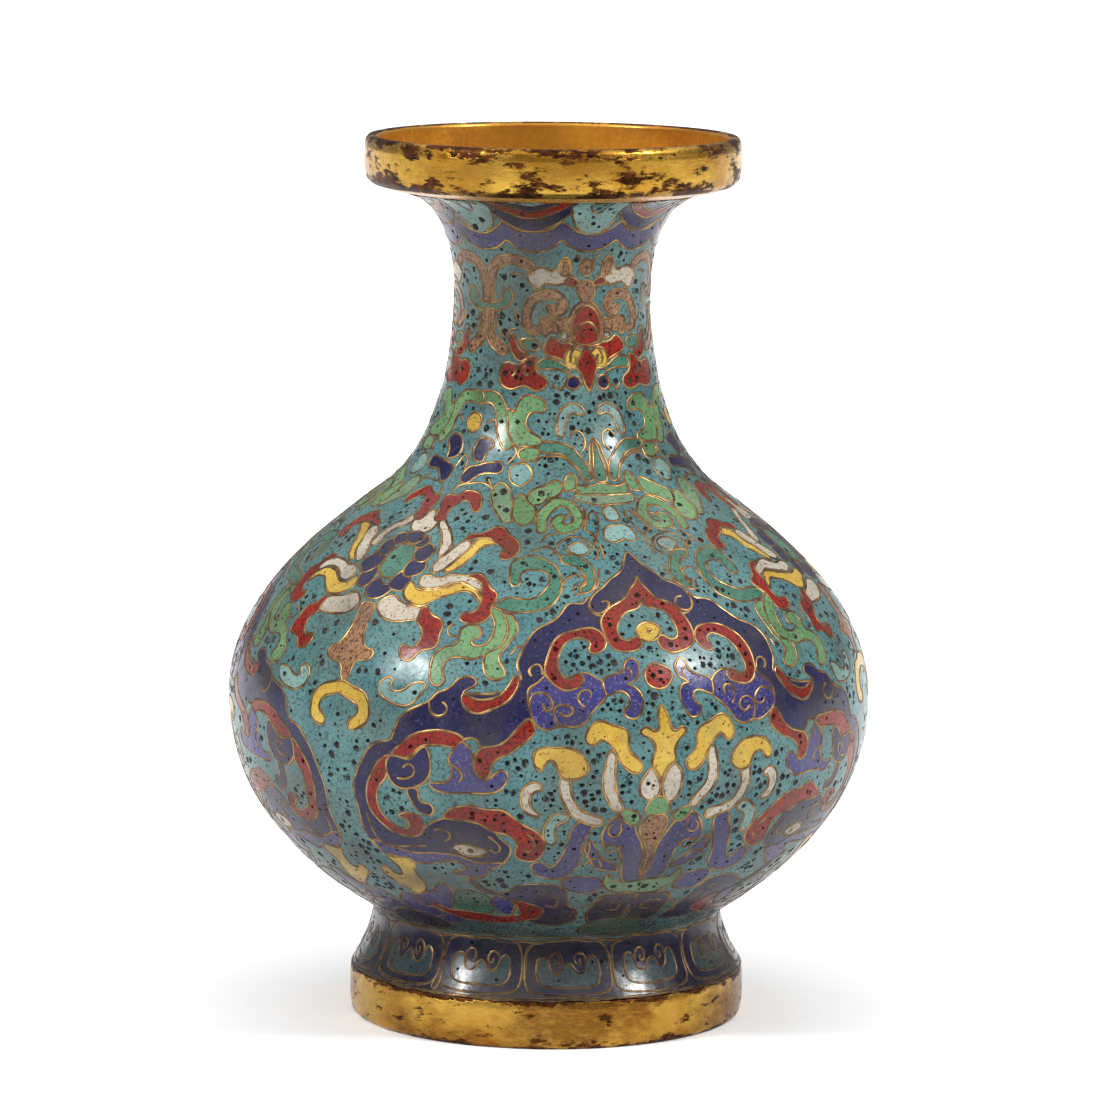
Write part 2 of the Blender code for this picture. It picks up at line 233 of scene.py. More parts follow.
def draw_lappet():
    """The cobalt lappet about 20 degrees, its red edging, beads and spiral clouds."""
    cobalt = [
        [(8, 69.6), (7, 68.6), (5, 68.4), (3.2, 67.8), (1.5, 66.2), (0.2, 65), (-3.3, 63.4), (-5.2, 60),
         (-5.4, 58.5), (-4.2, 56.3), (-3.3, 53.5), (-1, 52), (1.5, 55), (0.8, 58), (1, 60), (2, 61.8),
         (3.8, 63), (6.5, 63.6), (9, 63.2), (11, 62.3), (11.6, 65), (11, 67.5)],
        [(-15, 54.3), (-12.6, 55.6), (-13, 56.3), (-14.8, 56.7), (-16.3, 56.3), (-17.3, 55.3),
         (-20, 54.6), (-21.3, 53.3), (-24.5, 52.3), (-26.3, 51), (-27.3, 49.5), (-28.2, 47.9),
         (-29.5, 47.7), (-31.5, 46.8), (-33.5, 45.2), (-35, 43), (-36, 40.5), (-36.4, 37.5),
         (-36.5, 33.5), (-36, 31.5), (-34, 29), (-30.5, 28.7), (-27.4, 28.2), (-24.5, 27.9),
         (-20, 28.8), (-18, 29), (-16.8, 28.4), (-17, 27.4), (-20, 26.6), (-17, 25.6), (-14, 25.6),
         (-11, 27.5), (-7.5, 30.5), (-7, 32), (-9, 34.4), (-11.5, 36.7), (-14.5, 37.6), (-17.5, 37.2),
         (-19.6, 36.75), (-21.4, 36.25), (-23.2, 34.8), (-25, 33.9), (-28.2, 33.4), (-31, 35.2),
         (-32.5, 38), (-32.3, 40.4), (-30.8, 42.6), (-28.6, 44.8), (-25.5, 46.6), (-22, 48.2),
         (-18, 48.6), (-15.2, 48.4), (-12.3, 48.6), (-11, 47), (-8.5, 47.2), (-5, 49), (-2.8, 50.8),
         (-1, 53.5), (-3.8, 56.6), (-7.5, 55.2)],
    ]
    for shape in cobalt:
        paint("lappet", "cobalt", blob(shape))
    apex = [(20, 77.3), (17.8, 75.3), (15, 73.2), (11.5, 71.4), (8.7, 69.6), (8, 68.2), (9, 67.1),
            (11, 66.4), (13.5, 66.8), (15.5, 68), (17.8, 69.2), (20, 71)]
    paint("apex", "cobalt", half(apex, LAPPET, pointed=True), LAPPET)
    paint("cluster", "bright_cobalt", blob(
        [(-2.8, 51.5), (-2, 50.7), (0, 49.9), (2, 50.2), (4, 49.9), (6, 50.4), (8, 52.2), (10, 54.2),
         (10, 56), (9, 57), (6.5, 57.9), (4.2, 56), (2, 55.8), (0, 57), (-1, 56.2), (-3, 55),
         (-3.2, 53)]))
    paint("hooks", "bright_cobalt", blob(
        [(10, 56.5), (12, 57), (13.8, 57.8), (14, 59), (15.2, 59.7), (16.4, 58.8), (16.7, 57.8),
         (16, 56.6), (14.3, 55.8), (15.5, 55.7), (16.6, 54.5), (16.5, 53.2), (14.8, 51.2), (13.4, 51.3),
         (12.8, 52.1), (13.3, 52.8), (14.3, 53.2), (14.5, 54), (13.8, 54.8), (12.3, 54.9), (10, 54.3)]))
    heart = [(20, 73), (19.6, 71.8), (17.5, 70), (14.5, 68.4), (12, 67.2), (11, 66), (10.6, 64.2),
             (11, 62.7), (12.5, 61.3), (14.5, 60.6), (16.5, 60.6), (18, 61.4), (18.5, 62.4),
             (17.5, 63.1), (15.7, 62.4), (14.7, 62.8), (13.9, 63.6), (13.8, 64.8), (14.6, 66), (16, 67),
             (18, 67.6), (19.7, 68.3), (20, 69)]
    paint("heart", "red", half(heart, LAPPET, pointed=True), LAPPET)
    paint("inner_scroll", "red", blob(
        [(0, 57), (1.5, 55.7), (3.5, 55.1), (5.5, 55.5), (6.5, 56.5), (6.4, 57.4), (5.5, 57.8),
         (3.8, 56.7), (2.8, 56.7), (2.1, 57.4), (2.1, 60), (3, 61.4), (4.5, 62.4), (6.5, 62.8),
         (8.2, 61.9), (7.7, 61.3), (7.8, 60.6), (9, 60.5), (10.8, 61.8), (10.6, 63), (9.3, 64),
         (7, 64.4), (4.5, 64.2), (2.5, 63.4), (0.7, 62.2), (-0.3, 60.5), (-0.4, 58.6)]))
    paint("crescent", "red", blob(
        [(-5.5, 57.4), (-5, 56), (-6.5, 54), (-9, 52.6), (-12, 52), (-14.5, 53), (-15, 54.2),
         (-12, 53.7), (-9, 54.3), (-7, 55.8), (-6, 57)]))
    paint("bead", "yellow", disc(20, 63.7, 1.6), LAPPET)
    paint("bead_eye", "red", disc(20.2, 63.6, 0.4), LAPPET)
    paint("berry", "red", disc(20, 57.1, 1.85), LAPPET)
    line([(-0.5, 57.1), (-0.9, 58), (-1.8, 58.8), (-3, 58.6), (-3.4, 58), (-3, 57.4), (-2.5, 57.1)])
    line([(8.2, 68.4), (8.6, 67.4), (10, 66.9), (11.5, 67.1), (12.6, 68), (11.8, 68.9), (10.5, 68.8)])
    line([(-3.2, 53), (-2.3, 54.3), (-0.5, 54.8), (0.9, 54), (1.2, 52.8), (0, 52.2), (-0.8, 52.6),
          (-0.8, 53.3)])
    line([(2, 50.2), (1.5, 51), (1.3, 52.5), (2.3, 53.4), (3.8, 53.3), (4.8, 52.6), (4.3, 51.8),
          (3, 51.6), (2.3, 52.2)])
    line([(6.5, 52.6), (5.5, 53.5), (6, 55), (7, 55.3), (7.6, 54.5), (7.4, 53.9)])
    line([(-21.3, 53.3), (-21, 52), (-19.5, 51.1), (-18, 51.5), (-17.8, 52.5), (-19, 53.2)])
    line([(14.3, 58.2), (15.2, 57.9), (15.4, 57.1), (14.6, 56.8)])


def draw_creature():
    """The scrolling head on each side of the flower: ribbons, brow, eye, beard, claw."""
    paint("ribbon", "red", blob(
        [(-27.8, 46), (-26, 47.5), (-23.1, 48.75), (-20.3, 49.4), (-17.4, 49.5), (-14.9, 49),
         (-14.4, 48.4), (-15.4, 47.5), (-17.8, 47.8), (-20.3, 47.5), (-22.4, 46.9), (-24.9, 45.4),
         (-27.6, 45.4)]))
    paint("arm", "red", blob(
        [(-28.1, 45.5), (-30.3, 44.5), (-32.1, 42.75), (-33.3, 40.75), (-33.7, 38.75), (-33.3, 36.75),
         (-32.25, 35), (-30.6, 33.4), (-28, 32.8), (-25, 33.3), (-23.6, 34.5), (-23.9, 36.5),
         (-25.3, 37), (-28.1, 36.4), (-26.2, 35.75), (-25.8, 35), (-26.7, 34.1), (-28.3, 34.4),
         (-29.9, 35.25), (-31, 36.5), (-31.4, 39.5), (-30.6, 41), (-29.2, 42.2), (-28.6, 43.5),
         (-28.1, 44.6)]))
    paint("comma", "cobalt", blob(
        [(-28.1, 45.3), (-28.9, 44), (-28.7, 42.75), (-27.8, 41.6), (-26.5, 41.1), (-24.6, 41.1),
         (-22.4, 41.75), (-21.2, 43), (-20.5, 44.75), (-20.8, 47.2), (-22.4, 46.6), (-24.5, 45.3),
         (-26.5, 45.4)]))
    paint("leaf", "violet", blob(
        [(-14.8, 48.2), (-13.3, 47.25), (-12.4, 46), (-12.25, 44), (-11, 43.3), (-9.9, 43.5),
         (-8, 44.6), (-7, 44.2), (-7, 42.8), (-8.5, 41.6), (-11, 41.2), (-16, 41), (-19.5, 41),
         (-21, 42.4), (-19, 42.2), (-17.3, 42.5), (-16.3, 44), (-17, 46), (-15.8, 47.4)]))
    paint("beard", "cobalt", blob(
        [(-25.2, 41), (-24.8, 39), (-23.5, 37.3), (-21.8, 37), (-20.6, 38), (-21.2, 38.8),
         (-22.6, 38.8), (-23.2, 39.6), (-23, 41)]))
    paint("inner_ribbon", "red", blob(
        [(-3.3, 51.5), (-2.3, 50.7), (-2, 50), (-2.6, 49), (-4, 48), (-6.5, 47), (-8.5, 46.3),
         (-9.8, 45), (-9.9, 43.8), (-11, 43.3), (-12.2, 44), (-12.4, 45.5), (-11.5, 47), (-8, 48),
         (-6, 49), (-4.5, 50.5)]))
    paint("brow", "red", blob(
        [(-19.4, 36.9), (-17.8, 38.25), (-14.6, 39.4), (-11.2, 38.5), (-8.1, 38.25), (-4.5, 36.3),
         (-1, 34), (-0.8, 32.5), (-1.3, 31), (-2.8, 30), (-4.5, 29.9), (-6, 30.6), (-6, 33.5), (-8, 35),
         (-11, 35.3), (-12.4, 36), (-14.6, 36.5), (-17.4, 36.7)]))
    paint("jaw", "violet", blob(
        [(-35.6, 31.6), (-34, 29), (-30.5, 28.7), (-27.4, 28.2), (-24.5, 27.9), (-20, 28.8), (-18, 29),
         (-16.8, 28.4), (-17, 27.4), (-20, 26.6), (-17, 25.6), (-14, 25.6), (-11, 27.5), (-9, 29.2),
         (-13, 28.8), (-17, 29.9), (-22, 30.2), (-27, 30), (-31, 30.6)]))
    paint("eye", "white", blob(
        [(-19, 31.2), (-17, 32.3), (-14.5, 32.2), (-12, 31.6), (-13.5, 30.4), (-15.5, 30.1),
         (-17.5, 30.5)]))
    paint("pupil", "cobalt", disc(-15.3, 31.2, 0.42))
    paint("claw", "yellow", blob(
        [(-34, 28.6), (-32.5, 28.4), (-29, 29), (-27.8, 28.2), (-27.5, 27.4), (-28.5, 26.4),
         (-28.7, 25), (-28.3, 22.3), (-29.3, 21.2), (-31, 20.6), (-32.6, 20.8), (-33, 21.8),
         (-36.5, 23.8), (-37.6, 24.6), (-37.4, 25.8), (-36.6, 26.4), (-35.7, 26.1), (-34.5, 25),
         (-33.3, 25.2), (-32.9, 26.2), (-33.2, 27.4)]))
    line([(-21.8, 34.5), (-21, 34.9), (-19.5, 34.9), (-18.7, 34.2), (-18.8, 33.2), (-19.8, 32.5)])
    line([(-11, 34.2), (-9.5, 33.2), (-9.2, 31.8), (-10.4, 31.2), (-11.3, 32)])
    line([(-26.5, 42.3), (-24.8, 42.4), (-23.4, 43.3), (-23.5, 44.6), (-24.8, 44.6), (-25.3, 43.9)])
    line([(-4.5, 34.8), (-3, 33.8), (-2.6, 32.3), (-3.6, 31.6), (-4.3, 32.3)])
    line([(-34.6, 36), (-34.6, 33), (-33.2, 31), (-30, 30.8), (-24, 31.6)])
    line([(-16.8, 45.2), (-15.2, 44.4), (-14.6, 43.2), (-15.6, 42.4)])


def draw_under_belly():
    """The lotus clouds and waves below the creature, down to the waist."""
    paint("wave", "violet", blob(
        [(-39, 18.5), (-37, 20), (-33, 20.3), (-28, 21.5), (-25, 23.3), (-22.5, 24), (-21.5, 22.5),
         (-22, 20), (-23, 18.5), (-22, 15), (-25, 12.6), (-33, 12.4), (-38.6, 13.6)]))
    paint("patch", "teal", blob([(-22, 21), (-19, 22.6), (-14, 22), (-12, 20), (-13, 17.4), (-18, 16.4),
                                 (-22, 17)]))
    paint("swirl", "bright_cobalt", blob([(-12, 21), (-10, 22.2), (-8, 21), (-7.6, 18.5), (-9, 16.4),
                                          (-12, 17)]))
    paint("mass", "cobalt", blob(
        [(-17.5, 25.3), (-15.8, 25.4), (-14.5, 24), (-12.8, 22.8), (-10.5, 22.3), (-8, 23), (-3, 24.6),
         (0, 24.9), (3, 24.3), (4.2, 23), (4.3, 21), (5, 19.5), (6.5, 18.3), (7, 16.5), (6, 13.8),
         (0, 13), (-5, 14.4), (-1.8, 16.5), (-3, 19.4), (-8, 20.3), (-12, 22), (-15, 23)]))
    paint("stroke", "red", blob(
        [(-30, 19), (-28, 18.3), (-25, 17.2), (-21, 17), (-13, 16), (-9, 16), (-6.5, 16.3),
         (-6.8, 18.6), (-8, 20), (-5.5, 20), (-3, 19.4), (-1.5, 18), (-1.5, 16.5), (-3, 15.2),
         (-6, 14.6), (-10, 13.9), (-14, 13.6), (-18, 13.6), (-22, 14), (-26, 15.5), (-29, 17)]))
    paint("stem", "violet", ribbon([(6.2, 36), (5.2, 33), (4.6, 30.5), (3.6, 28.4), (2, 27.3),
                                    (0, 27.4), (-1.4, 28.8)], 2.6))
    paint("cloud", "violet", blob([(3.6, 26), (6.4, 27), (8.6, 26.8), (11, 26), (12, 24.2), (9, 22.6),
                                   (5.2, 23.2)]))
    paint("frond", "violet", blob([(8.4, 33.6), (9.6, 32.2), (11.4, 30.6), (13.8, 29.4), (14.6, 27.6),
                                   (13, 28), (10.4, 28.8), (8.6, 30.4), (7.4, 32.2)]))
    paint("sprout", "violet", blob(
        [(10.2, 33.6), (10.3, 35.6), (11.5, 37), (13.4, 37.5), (15.4, 36.8), (17, 35), (18.2, 32.5),
         (19, 29.5), (19.6, 26.4), (18.6, 25), (16.8, 25), (15.8, 27), (15, 30), (14, 32.4),
         (12.9, 33.2), (11.6, 32.8)]))
    paint("petal", "cobalt", blob(
        [(12.4, 22.6), (15, 22.3), (19.6, 21.9), (19.8, 18), (18, 14.4), (14, 13.2), (10.5, 14),
         (10, 18), (11, 21)]))
    paint("bar", "light_green", half(
        [(20, 25.7), (16, 25.7), (13.5, 26.2), (12.2, 27.6), (11.6, 26), (13, 24), (15, 22.9),
         (18, 22.5), (20, 22.3)], LAPPET), LAPPET)
    for points in (
        [(7.2, 29.2), (8.8, 30.6), (10.8, 30.4), (11.4, 29.2)],
        [(10.2, 33.4), (11.6, 32), (13.4, 32), (14.2, 33)],
        [(8, 33.8), (8.4, 32), (7.6, 30.8)],
        [(12.6, 37), (13.5, 35.9), (13.2, 34.7), (12, 34.3), (11, 35), (11.2, 36), (12, 36.2)],
        [(-34, 19), (-32, 17.2), (-29, 17), (-28.4, 14.8), (-31, 14)],
        [(-1, 23), (1.5, 22), (2.6, 20), (1.4, 18.4), (-0.4, 19.4)],
        [(13, 20), (15, 20.6), (16.8, 19.4), (16, 17.6), (14, 17.8)],
        [(5, 16), (7.5, 19), (10, 20), (13, 21.8)],
    ):
        line(points)
    for k in range(REPEATS):
        turn = np.array([k * FULL / REPEATS, 0])
        for axis, colour in ((FLOWER, "dark_violet"), (LAPPET, "teal")):
            fill(("drape", axis, k), colour, blob(
                [(axis - 9, 13.2), (axis - 4, 14.6), (axis, 15), (axis + 4, 14.6), (axis + 9, 13.2),
                 (axis + 10, 10.4), (axis, 9.6), (axis - 10, 10.4)]) + turn)


def draw_lotus():
    """The yellow and white lotus inside the lappet, about 20 degrees."""
    paint("drop", "pink", half([(20, 37.7), (19, 37.6), (18, 37), (17.6, 35.8), (18.2, 34), (19, 32),
                                (19.5, 30), (19.8, 28), (20, 26)], LAPPET), LAPPET)
    paint("side_leaf", "light_green", blob(
        [(13, 38.2), (14.5, 38.5), (16.3, 38), (17.3, 37), (17, 36.2), (15.5, 36), (14, 36.6)]))
    paint("outer_petal", "white", ribbon([(10.5, 46.2), (10.2, 44), (10.4, 42), (11.3, 40.3),
                                          (12.8, 38.8)], 1.6))
    paint("far_petal", "white", ribbon([(2.7, 43), (2.5, 41.5), (3.2, 39.8), (4.5, 38.5), (6.5, 37.6),
                                        (9, 37)], 1.5))
    paint("curl", "white", blob(
        [(-1.5, 42.6), (-3.3, 42.8), (-4.6, 41.8), (-5, 40.4), (-4.3, 39), (-3, 38.2), (-1.5, 38),
         (-3, 39.5), (-3.2, 40.8), (-2.4, 41.6), (-1.3, 41.8)]))
    paint("low_curl", "pale_turquoise", blob(
        [(3.5, 37.9), (1.5, 38.1), (0, 37.3), (-1, 35.8), (-0.8, 34), (0.2, 33), (1.5, 34), (1.3, 35.5),
         (2, 36.5), (3.3, 36.9)]))
    paint("middle_petal", "white", blob(
        [(17.3, 44.2), (16.2, 43), (15.8, 41.5), (16.2, 40.3), (17.5, 39.5), (19, 39.8), (19.8, 41),
         (19.6, 42.6), (18.7, 43.8), (17.9, 44.6)]))
    paint("cup", "light_green", half([(20, 40.2), (18.4, 39.7), (17.5, 38.7), (17.7, 37.7),
                                      (20, 37.6)], LAPPET), LAPPET)
    paint("trident", "yellow", half(
        [(20, 52.9), (19.4, 52), (19, 51), (18.9, 49.7), (18.2, 49.2), (16.8, 49.9), (15.5, 49.2),
         (16, 48.6), (17.2, 48.3), (18, 47.4), (18.2, 46.3), (17.7, 45.4), (18, 44.6), (19, 44),
         (19.6, 43), (20, 42.2)], LAPPET), LAPPET)
    paint("bone", "yellow", blob(
        [(6.2, 48.3), (6.6, 49.4), (7.8, 50.6), (9.3, 51), (11, 50.4), (13, 49.6), (13.8, 48.3),
         (14, 46.8), (15.3, 45.8), (16.2, 44.8), (15.5, 43.8), (13.9, 43.8), (12.7, 44.5), (11.8, 45.6),
         (11, 46.8), (10.2, 48), (9, 48.7), (8, 47.8), (7, 47.7)]))
    paint("far_bone", "yellow", blob(
        [(-2.4, 44.6), (-2.5, 46), (-1.5, 47.2), (0.5, 47.5), (5, 47), (6.2, 45.8), (6.6, 44.6),
         (5.8, 43.6), (4.2, 43.1), (2.3, 43.4), (1.2, 45.3), (0, 45.6), (-1.5, 44.2)]))


def draw_flower():
    """The open flower about -40 degrees, its stem, arch and the green scrolls beside it."""
    paint("heart_leaf", "teal", blob([(-43.8, 74), (-42.6, 76.4), (-40, 77.3), (-37, 76.6), (-35.5, 74),
                                      (-37, 71.2), (-40, 70.5), (-42.6, 71.4)]), FLOWER)
    paint("low_bean", "cobalt", blob(
        [(-42.8, 69.2), (-42, 70.2), (-40.7, 70.4), (-39.5, 69.6), (-38, 69.6), (-36.6, 69.7),
         (-36, 68.9), (-36.8, 67.8), (-38.5, 67.2), (-41, 67.3), (-42.4, 68.1)]), FLOWER)
    beans = (("bean_1", -35, 70.4, 2.6, 1.9), ("bean_2", -33, 73.1, 2.8, 1.9),
             ("bean_3", -33.4, 76, 2.8, 1.7), ("bean_4", -36.2, 78, 2.6, 1.35))
    for name, angle, up, wide, tall in beans:
        half_width = math.radians(wide) * float(radius_at(np.interp(up, UP, FLAT)))
        paint(name, "cobalt", disc(angle, up, half_width, tall))
    paint("top_bean", "cobalt", disc(-40, 78.7, 1.8, 1.2), FLOWER)
    paint("low_petal", "white", blob(
        [(-37.7, 66.2), (-36.5, 67.3), (-34.5, 67.7), (-32, 67), (-29, 66.6), (-27, 66), (-26, 64.8),
         (-29, 64), (-32, 64.1), (-34.5, 64.5), (-36.8, 65.3)]))
    paint("low_tip", "red", blob(
        [(-27.5, 66.3), (-26.5, 66.8), (-25.3, 65.9), (-24, 65.2), (-22.7, 65), (-21.9, 64),
         (-22.2, 62.8), (-21.8, 61.5), (-22.1, 60.3), (-25, 60), (-26, 59), (-27.5, 58.5), (-29, 59),
         (-29.5, 60), (-29, 60.9), (-26.5, 60.5), (-25.7, 61.3), (-25.5, 62.5), (-26.3, 63.4),
         (-27.3, 64), (-27.2, 65)]))
    paint("side_petal_low", "yellow", blob(
        [(-33, 68.3), (-32.8, 70.2), (-31.5, 70.3), (-29.8, 69.4), (-27, 69.4), (-24.5, 70),
         (-22, 70.6), (-19, 70.9), (-17, 70.5), (-15.5, 69.8), (-15.2, 67.9), (-16, 68.5),
         (-17.5, 69.5), (-20, 69.3), (-22.5, 68.5), (-27.5, 66.8), (-30, 67.2), (-32, 67.8)]))
    paint("side_petal_high", "white", blob(
        [(-30, 70.4), (-30, 71.6), (-28, 72), (-25.5, 71.7), (-23, 72.6), (-20.5, 72.9), (-16.5, 72.2),
         (-15, 71.7), (-14.6, 70.8), (-15.3, 70.2), (-19.5, 71.2), (-22.5, 70.9), (-25, 70.2),
         (-27.3, 69.6), (-29, 69.7)]))
    paint("side_tip", "red", blob(
        [(-18.8, 72.5), (-17, 72.9), (-15.3, 72.7), (-14, 71.8), (-13, 70.6), (-11.7, 70.2),
         (-11.1, 69.2), (-12.5, 67.3), (-12.7, 65.9), (-13.8, 64.8), (-15.7, 64.4), (-17.4, 64.6),
         (-18.5, 65.5), (-18, 66.4), (-16, 66.3), (-15.2, 67.2), (-15, 69.8), (-15, 71.3),
         (-16.5, 72)]))
    paint("upper_petal", "white", blob(
        [(-29, 73), (-27.5, 75.5), (-26, 76.8), (-25.3, 78), (-23.8, 79.2), (-21.8, 79.2),
         (-21.2, 78.2), (-22, 76.8), (-24.5, 74), (-26, 72.8), (-27.8, 72.3)]))
    paint("upper_petal_edge", "yellow", blob(
        [(-25.5, 72.9), (-23.8, 74.4), (-22.2, 76.4), (-20.9, 78.4), (-19.5, 79.4), (-17.5, 79.7),
         (-15.3, 79.4), (-14.2, 78.9), (-16, 78.3), (-18, 77.7), (-19.3, 76.3), (-20.7, 74.5),
         (-22.6, 73.4), (-24.5, 72.5)]))
    paint("upper_tip", "red", blob(
        [(-24, 79.4), (-22.5, 80.4), (-20, 80.6), (-18, 81.3), (-16, 82), (-13.5, 81.6), (-11.5, 80.6),
         (-9.5, 80), (-8, 78.8), (-7.5, 77.3), (-8.5, 76.3), (-10.3, 75.6), (-12, 76), (-12.3, 77),
         (-11.5, 77.8), (-12.5, 78.6), (-14.5, 79), (-17, 79.8), (-20, 79.6), (-22, 79.3)]))
    paint("top_petal", "white", blob(
        [(-35.3, 82.5), (-33.8, 82.7), (-32, 81.7), (-29.8, 80.5), (-28, 79), (-26.7, 77.6),
         (-26.8, 76.2), (-28, 75.6), (-29.3, 76.5), (-30.2, 78.3), (-31.8, 79.7), (-33.7, 80.7),
         (-35.3, 81.6)]))
    paint("crown", "white", half([(-40, 84.5), (-37.6, 83.2), (-35.6, 81.4), (-36.8, 79.8),
                                  (-40, 79.6)], FLOWER, pointed=True), FLOWER)
    paint("top_tip", "red", blob(
        [(-39.3, 86.9), (-37.8, 87.3), (-35.8, 87.2), (-34, 87.4), (-32.5, 88), (-30, 88.4),
         (-27.5, 88.2), (-25.5, 87.6), (-24.2, 86.8), (-23.7, 85.6), (-24.8, 84.4), (-26, 84.6),
         (-28.5, 86.1), (-30.5, 86.7), (-32.5, 86.2), (-33.8, 85), (-34.5, 84), (-34, 82.6),
         (-37.3, 82), (-38.3, 82.8), (-38, 84.5), (-39, 85.8)]))
    paint("stem_of_flower", "pink", half(
        [(-40, 66.4), (-38.3, 66.3), (-38.2, 65), (-38.2, 62.5), (-37.6, 60.8), (-36.5, 59.9),
         (-34.7, 59.5), (-34.5, 58.6), (-36, 57.9), (-38, 57.8), (-38.7, 57), (-39, 55.5),
         (-40, 54.9)], FLOWER), FLOWER)
    paint("arch", "yellow", ribbon(
        [(-36, 49.2), (-34.5, 49.8), (-34.3, 51.6), (-35.6, 53.1), (-38, 53.6), (-40, 54), (-42, 53.6),
         (-44.4, 53.1), (-45.7, 51.6), (-45.5, 49.8), (-44, 49.2)], 1.9), FLOWER)
    paint("pale_crescent", "pale_turquoise", blob(
        [(-30, 56.4), (-31.3, 56), (-31.8, 55), (-31.2, 53.8), (-29.5, 52.8), (-27, 52.5), (-24.5, 53),
         (-23.2, 54.2), (-22.6, 55.6), (-25.5, 55.3), (-27, 54.4), (-28.6, 54.3), (-29.2, 55),
         (-29, 56)]))
    paint("scroll", "light_green", blob(
        [(-22, 56.3), (-20.5, 55.6), (-19, 55.8), (-18.5, 56.5), (-19.5, 57.3), (-19.7, 58.2),
         (-18.8, 59.2), (-17, 59.6), (-14, 59.4), (-10.8, 60.3), (-9.4, 61.3), (-8.6, 63), (-8.7, 64.7),
         (-9.6, 66), (-11, 67.1), (-12.5, 67.2), (-12.7, 66), (-11.8, 65), (-11.2, 63.8), (-11.4, 62.4),
         (-12.3, 61.4), (-14.8, 61.2), (-15.5, 61.8), (-13.4, 62.6), (-14, 63.9), (-15.5, 64.2),
         (-17, 63.8), (-18, 63), (-18.5, 61.2), (-20, 60.8), (-21.5, 59.8), (-22.2, 58.5)]))
    paint("second_scroll", "light_green", blob(
        [(-12.3, 59.7), (-12.4, 58.2), (-11.5, 57), (-9.8, 56.4), (-8.2, 56.6), (-7.5, 57.4),
         (-8.8, 58.7), (-9.4, 59.4), (-8.8, 60.4), (-7.8, 61.8), (-6.9, 63.4), (-6.7, 65), (-7.5, 66.3),
         (-9.5, 66.5), (-8.7, 64.7), (-8.6, 63), (-9.4, 61.3)]))
    paint("teal_cloud", "teal", blob(
        [(-12, 67.3), (-9, 66.8), (-3.5, 67), (-1, 67.8), (0.7, 68.8), (2, 70.2), (2.5, 71.5),
         (1.5, 74), (0, 75.5), (-2.5, 76.5), (-6, 76.6), (-8.5, 75.5), (-9.4, 73.7), (-9.2, 72),
         (-8, 71.1), (-6.8, 71.6), (-6.7, 73), (-5.5, 74.1), (-3, 74.3), (-1, 73.6), (-0.2, 72.2),
         (-1, 70.9), (-3, 69.7), (-6, 68.9), (-9.5, 68.8), (-11.5, 68)]))
    paint("teal_curl", "teal", ribbon([(4, 76), (7, 75.8), (8.7, 74), (8.7, 72), (7.3, 70.8)], 1.6))
    paint("small_cloud", "pale_turquoise", blob([(4.4, 77.6), (6, 78.9), (8.6, 79), (10.4, 78), (9, 77),
                                                 (6, 76.8)]))
    paint("apex_cloud", "pale_turquoise", half([(20, 82.2), (17.5, 82), (15.4, 80.7), (15.7, 79.3),
                                                (18, 78.7), (20, 79.2)], LAPPET), LAPPET)
    for points in (
        [(1.6, 69.6), (3, 72.5), (5, 73.4), (7.1, 72.9), (7.4, 71.5), (6.5, 70.9), (5, 71.5), (4.5, 71),
         (4.9, 70.3), (6.4, 69.9), (9, 70.6), (11, 72.2), (11.6, 74.2)],
        [(-4.4, 77.2), (-1, 78.5), (2, 77.6), (3, 75.6)],
        [(1.2, 76.8), (3, 79.4), (6, 80.2), (9, 79.7), (11.5, 78.5), (12, 77), (10.4, 76)],
        [(-2, 79), (0.4, 80.6), (3.2, 81)],
        [(12.6, 76), (13.6, 78.2), (12.6, 80.2), (10.4, 81.4)],
        [(-18.6, 62.3), (-20.3, 62.6), (-20.6, 63.8), (-19.2, 64.3)],
        [(-6.8, 60), (-5.9, 61.3), (-4.9, 60.8)],
    ):
        line(points)


# ---------------------------------------------------------------- shoulder, neck, collar and foot


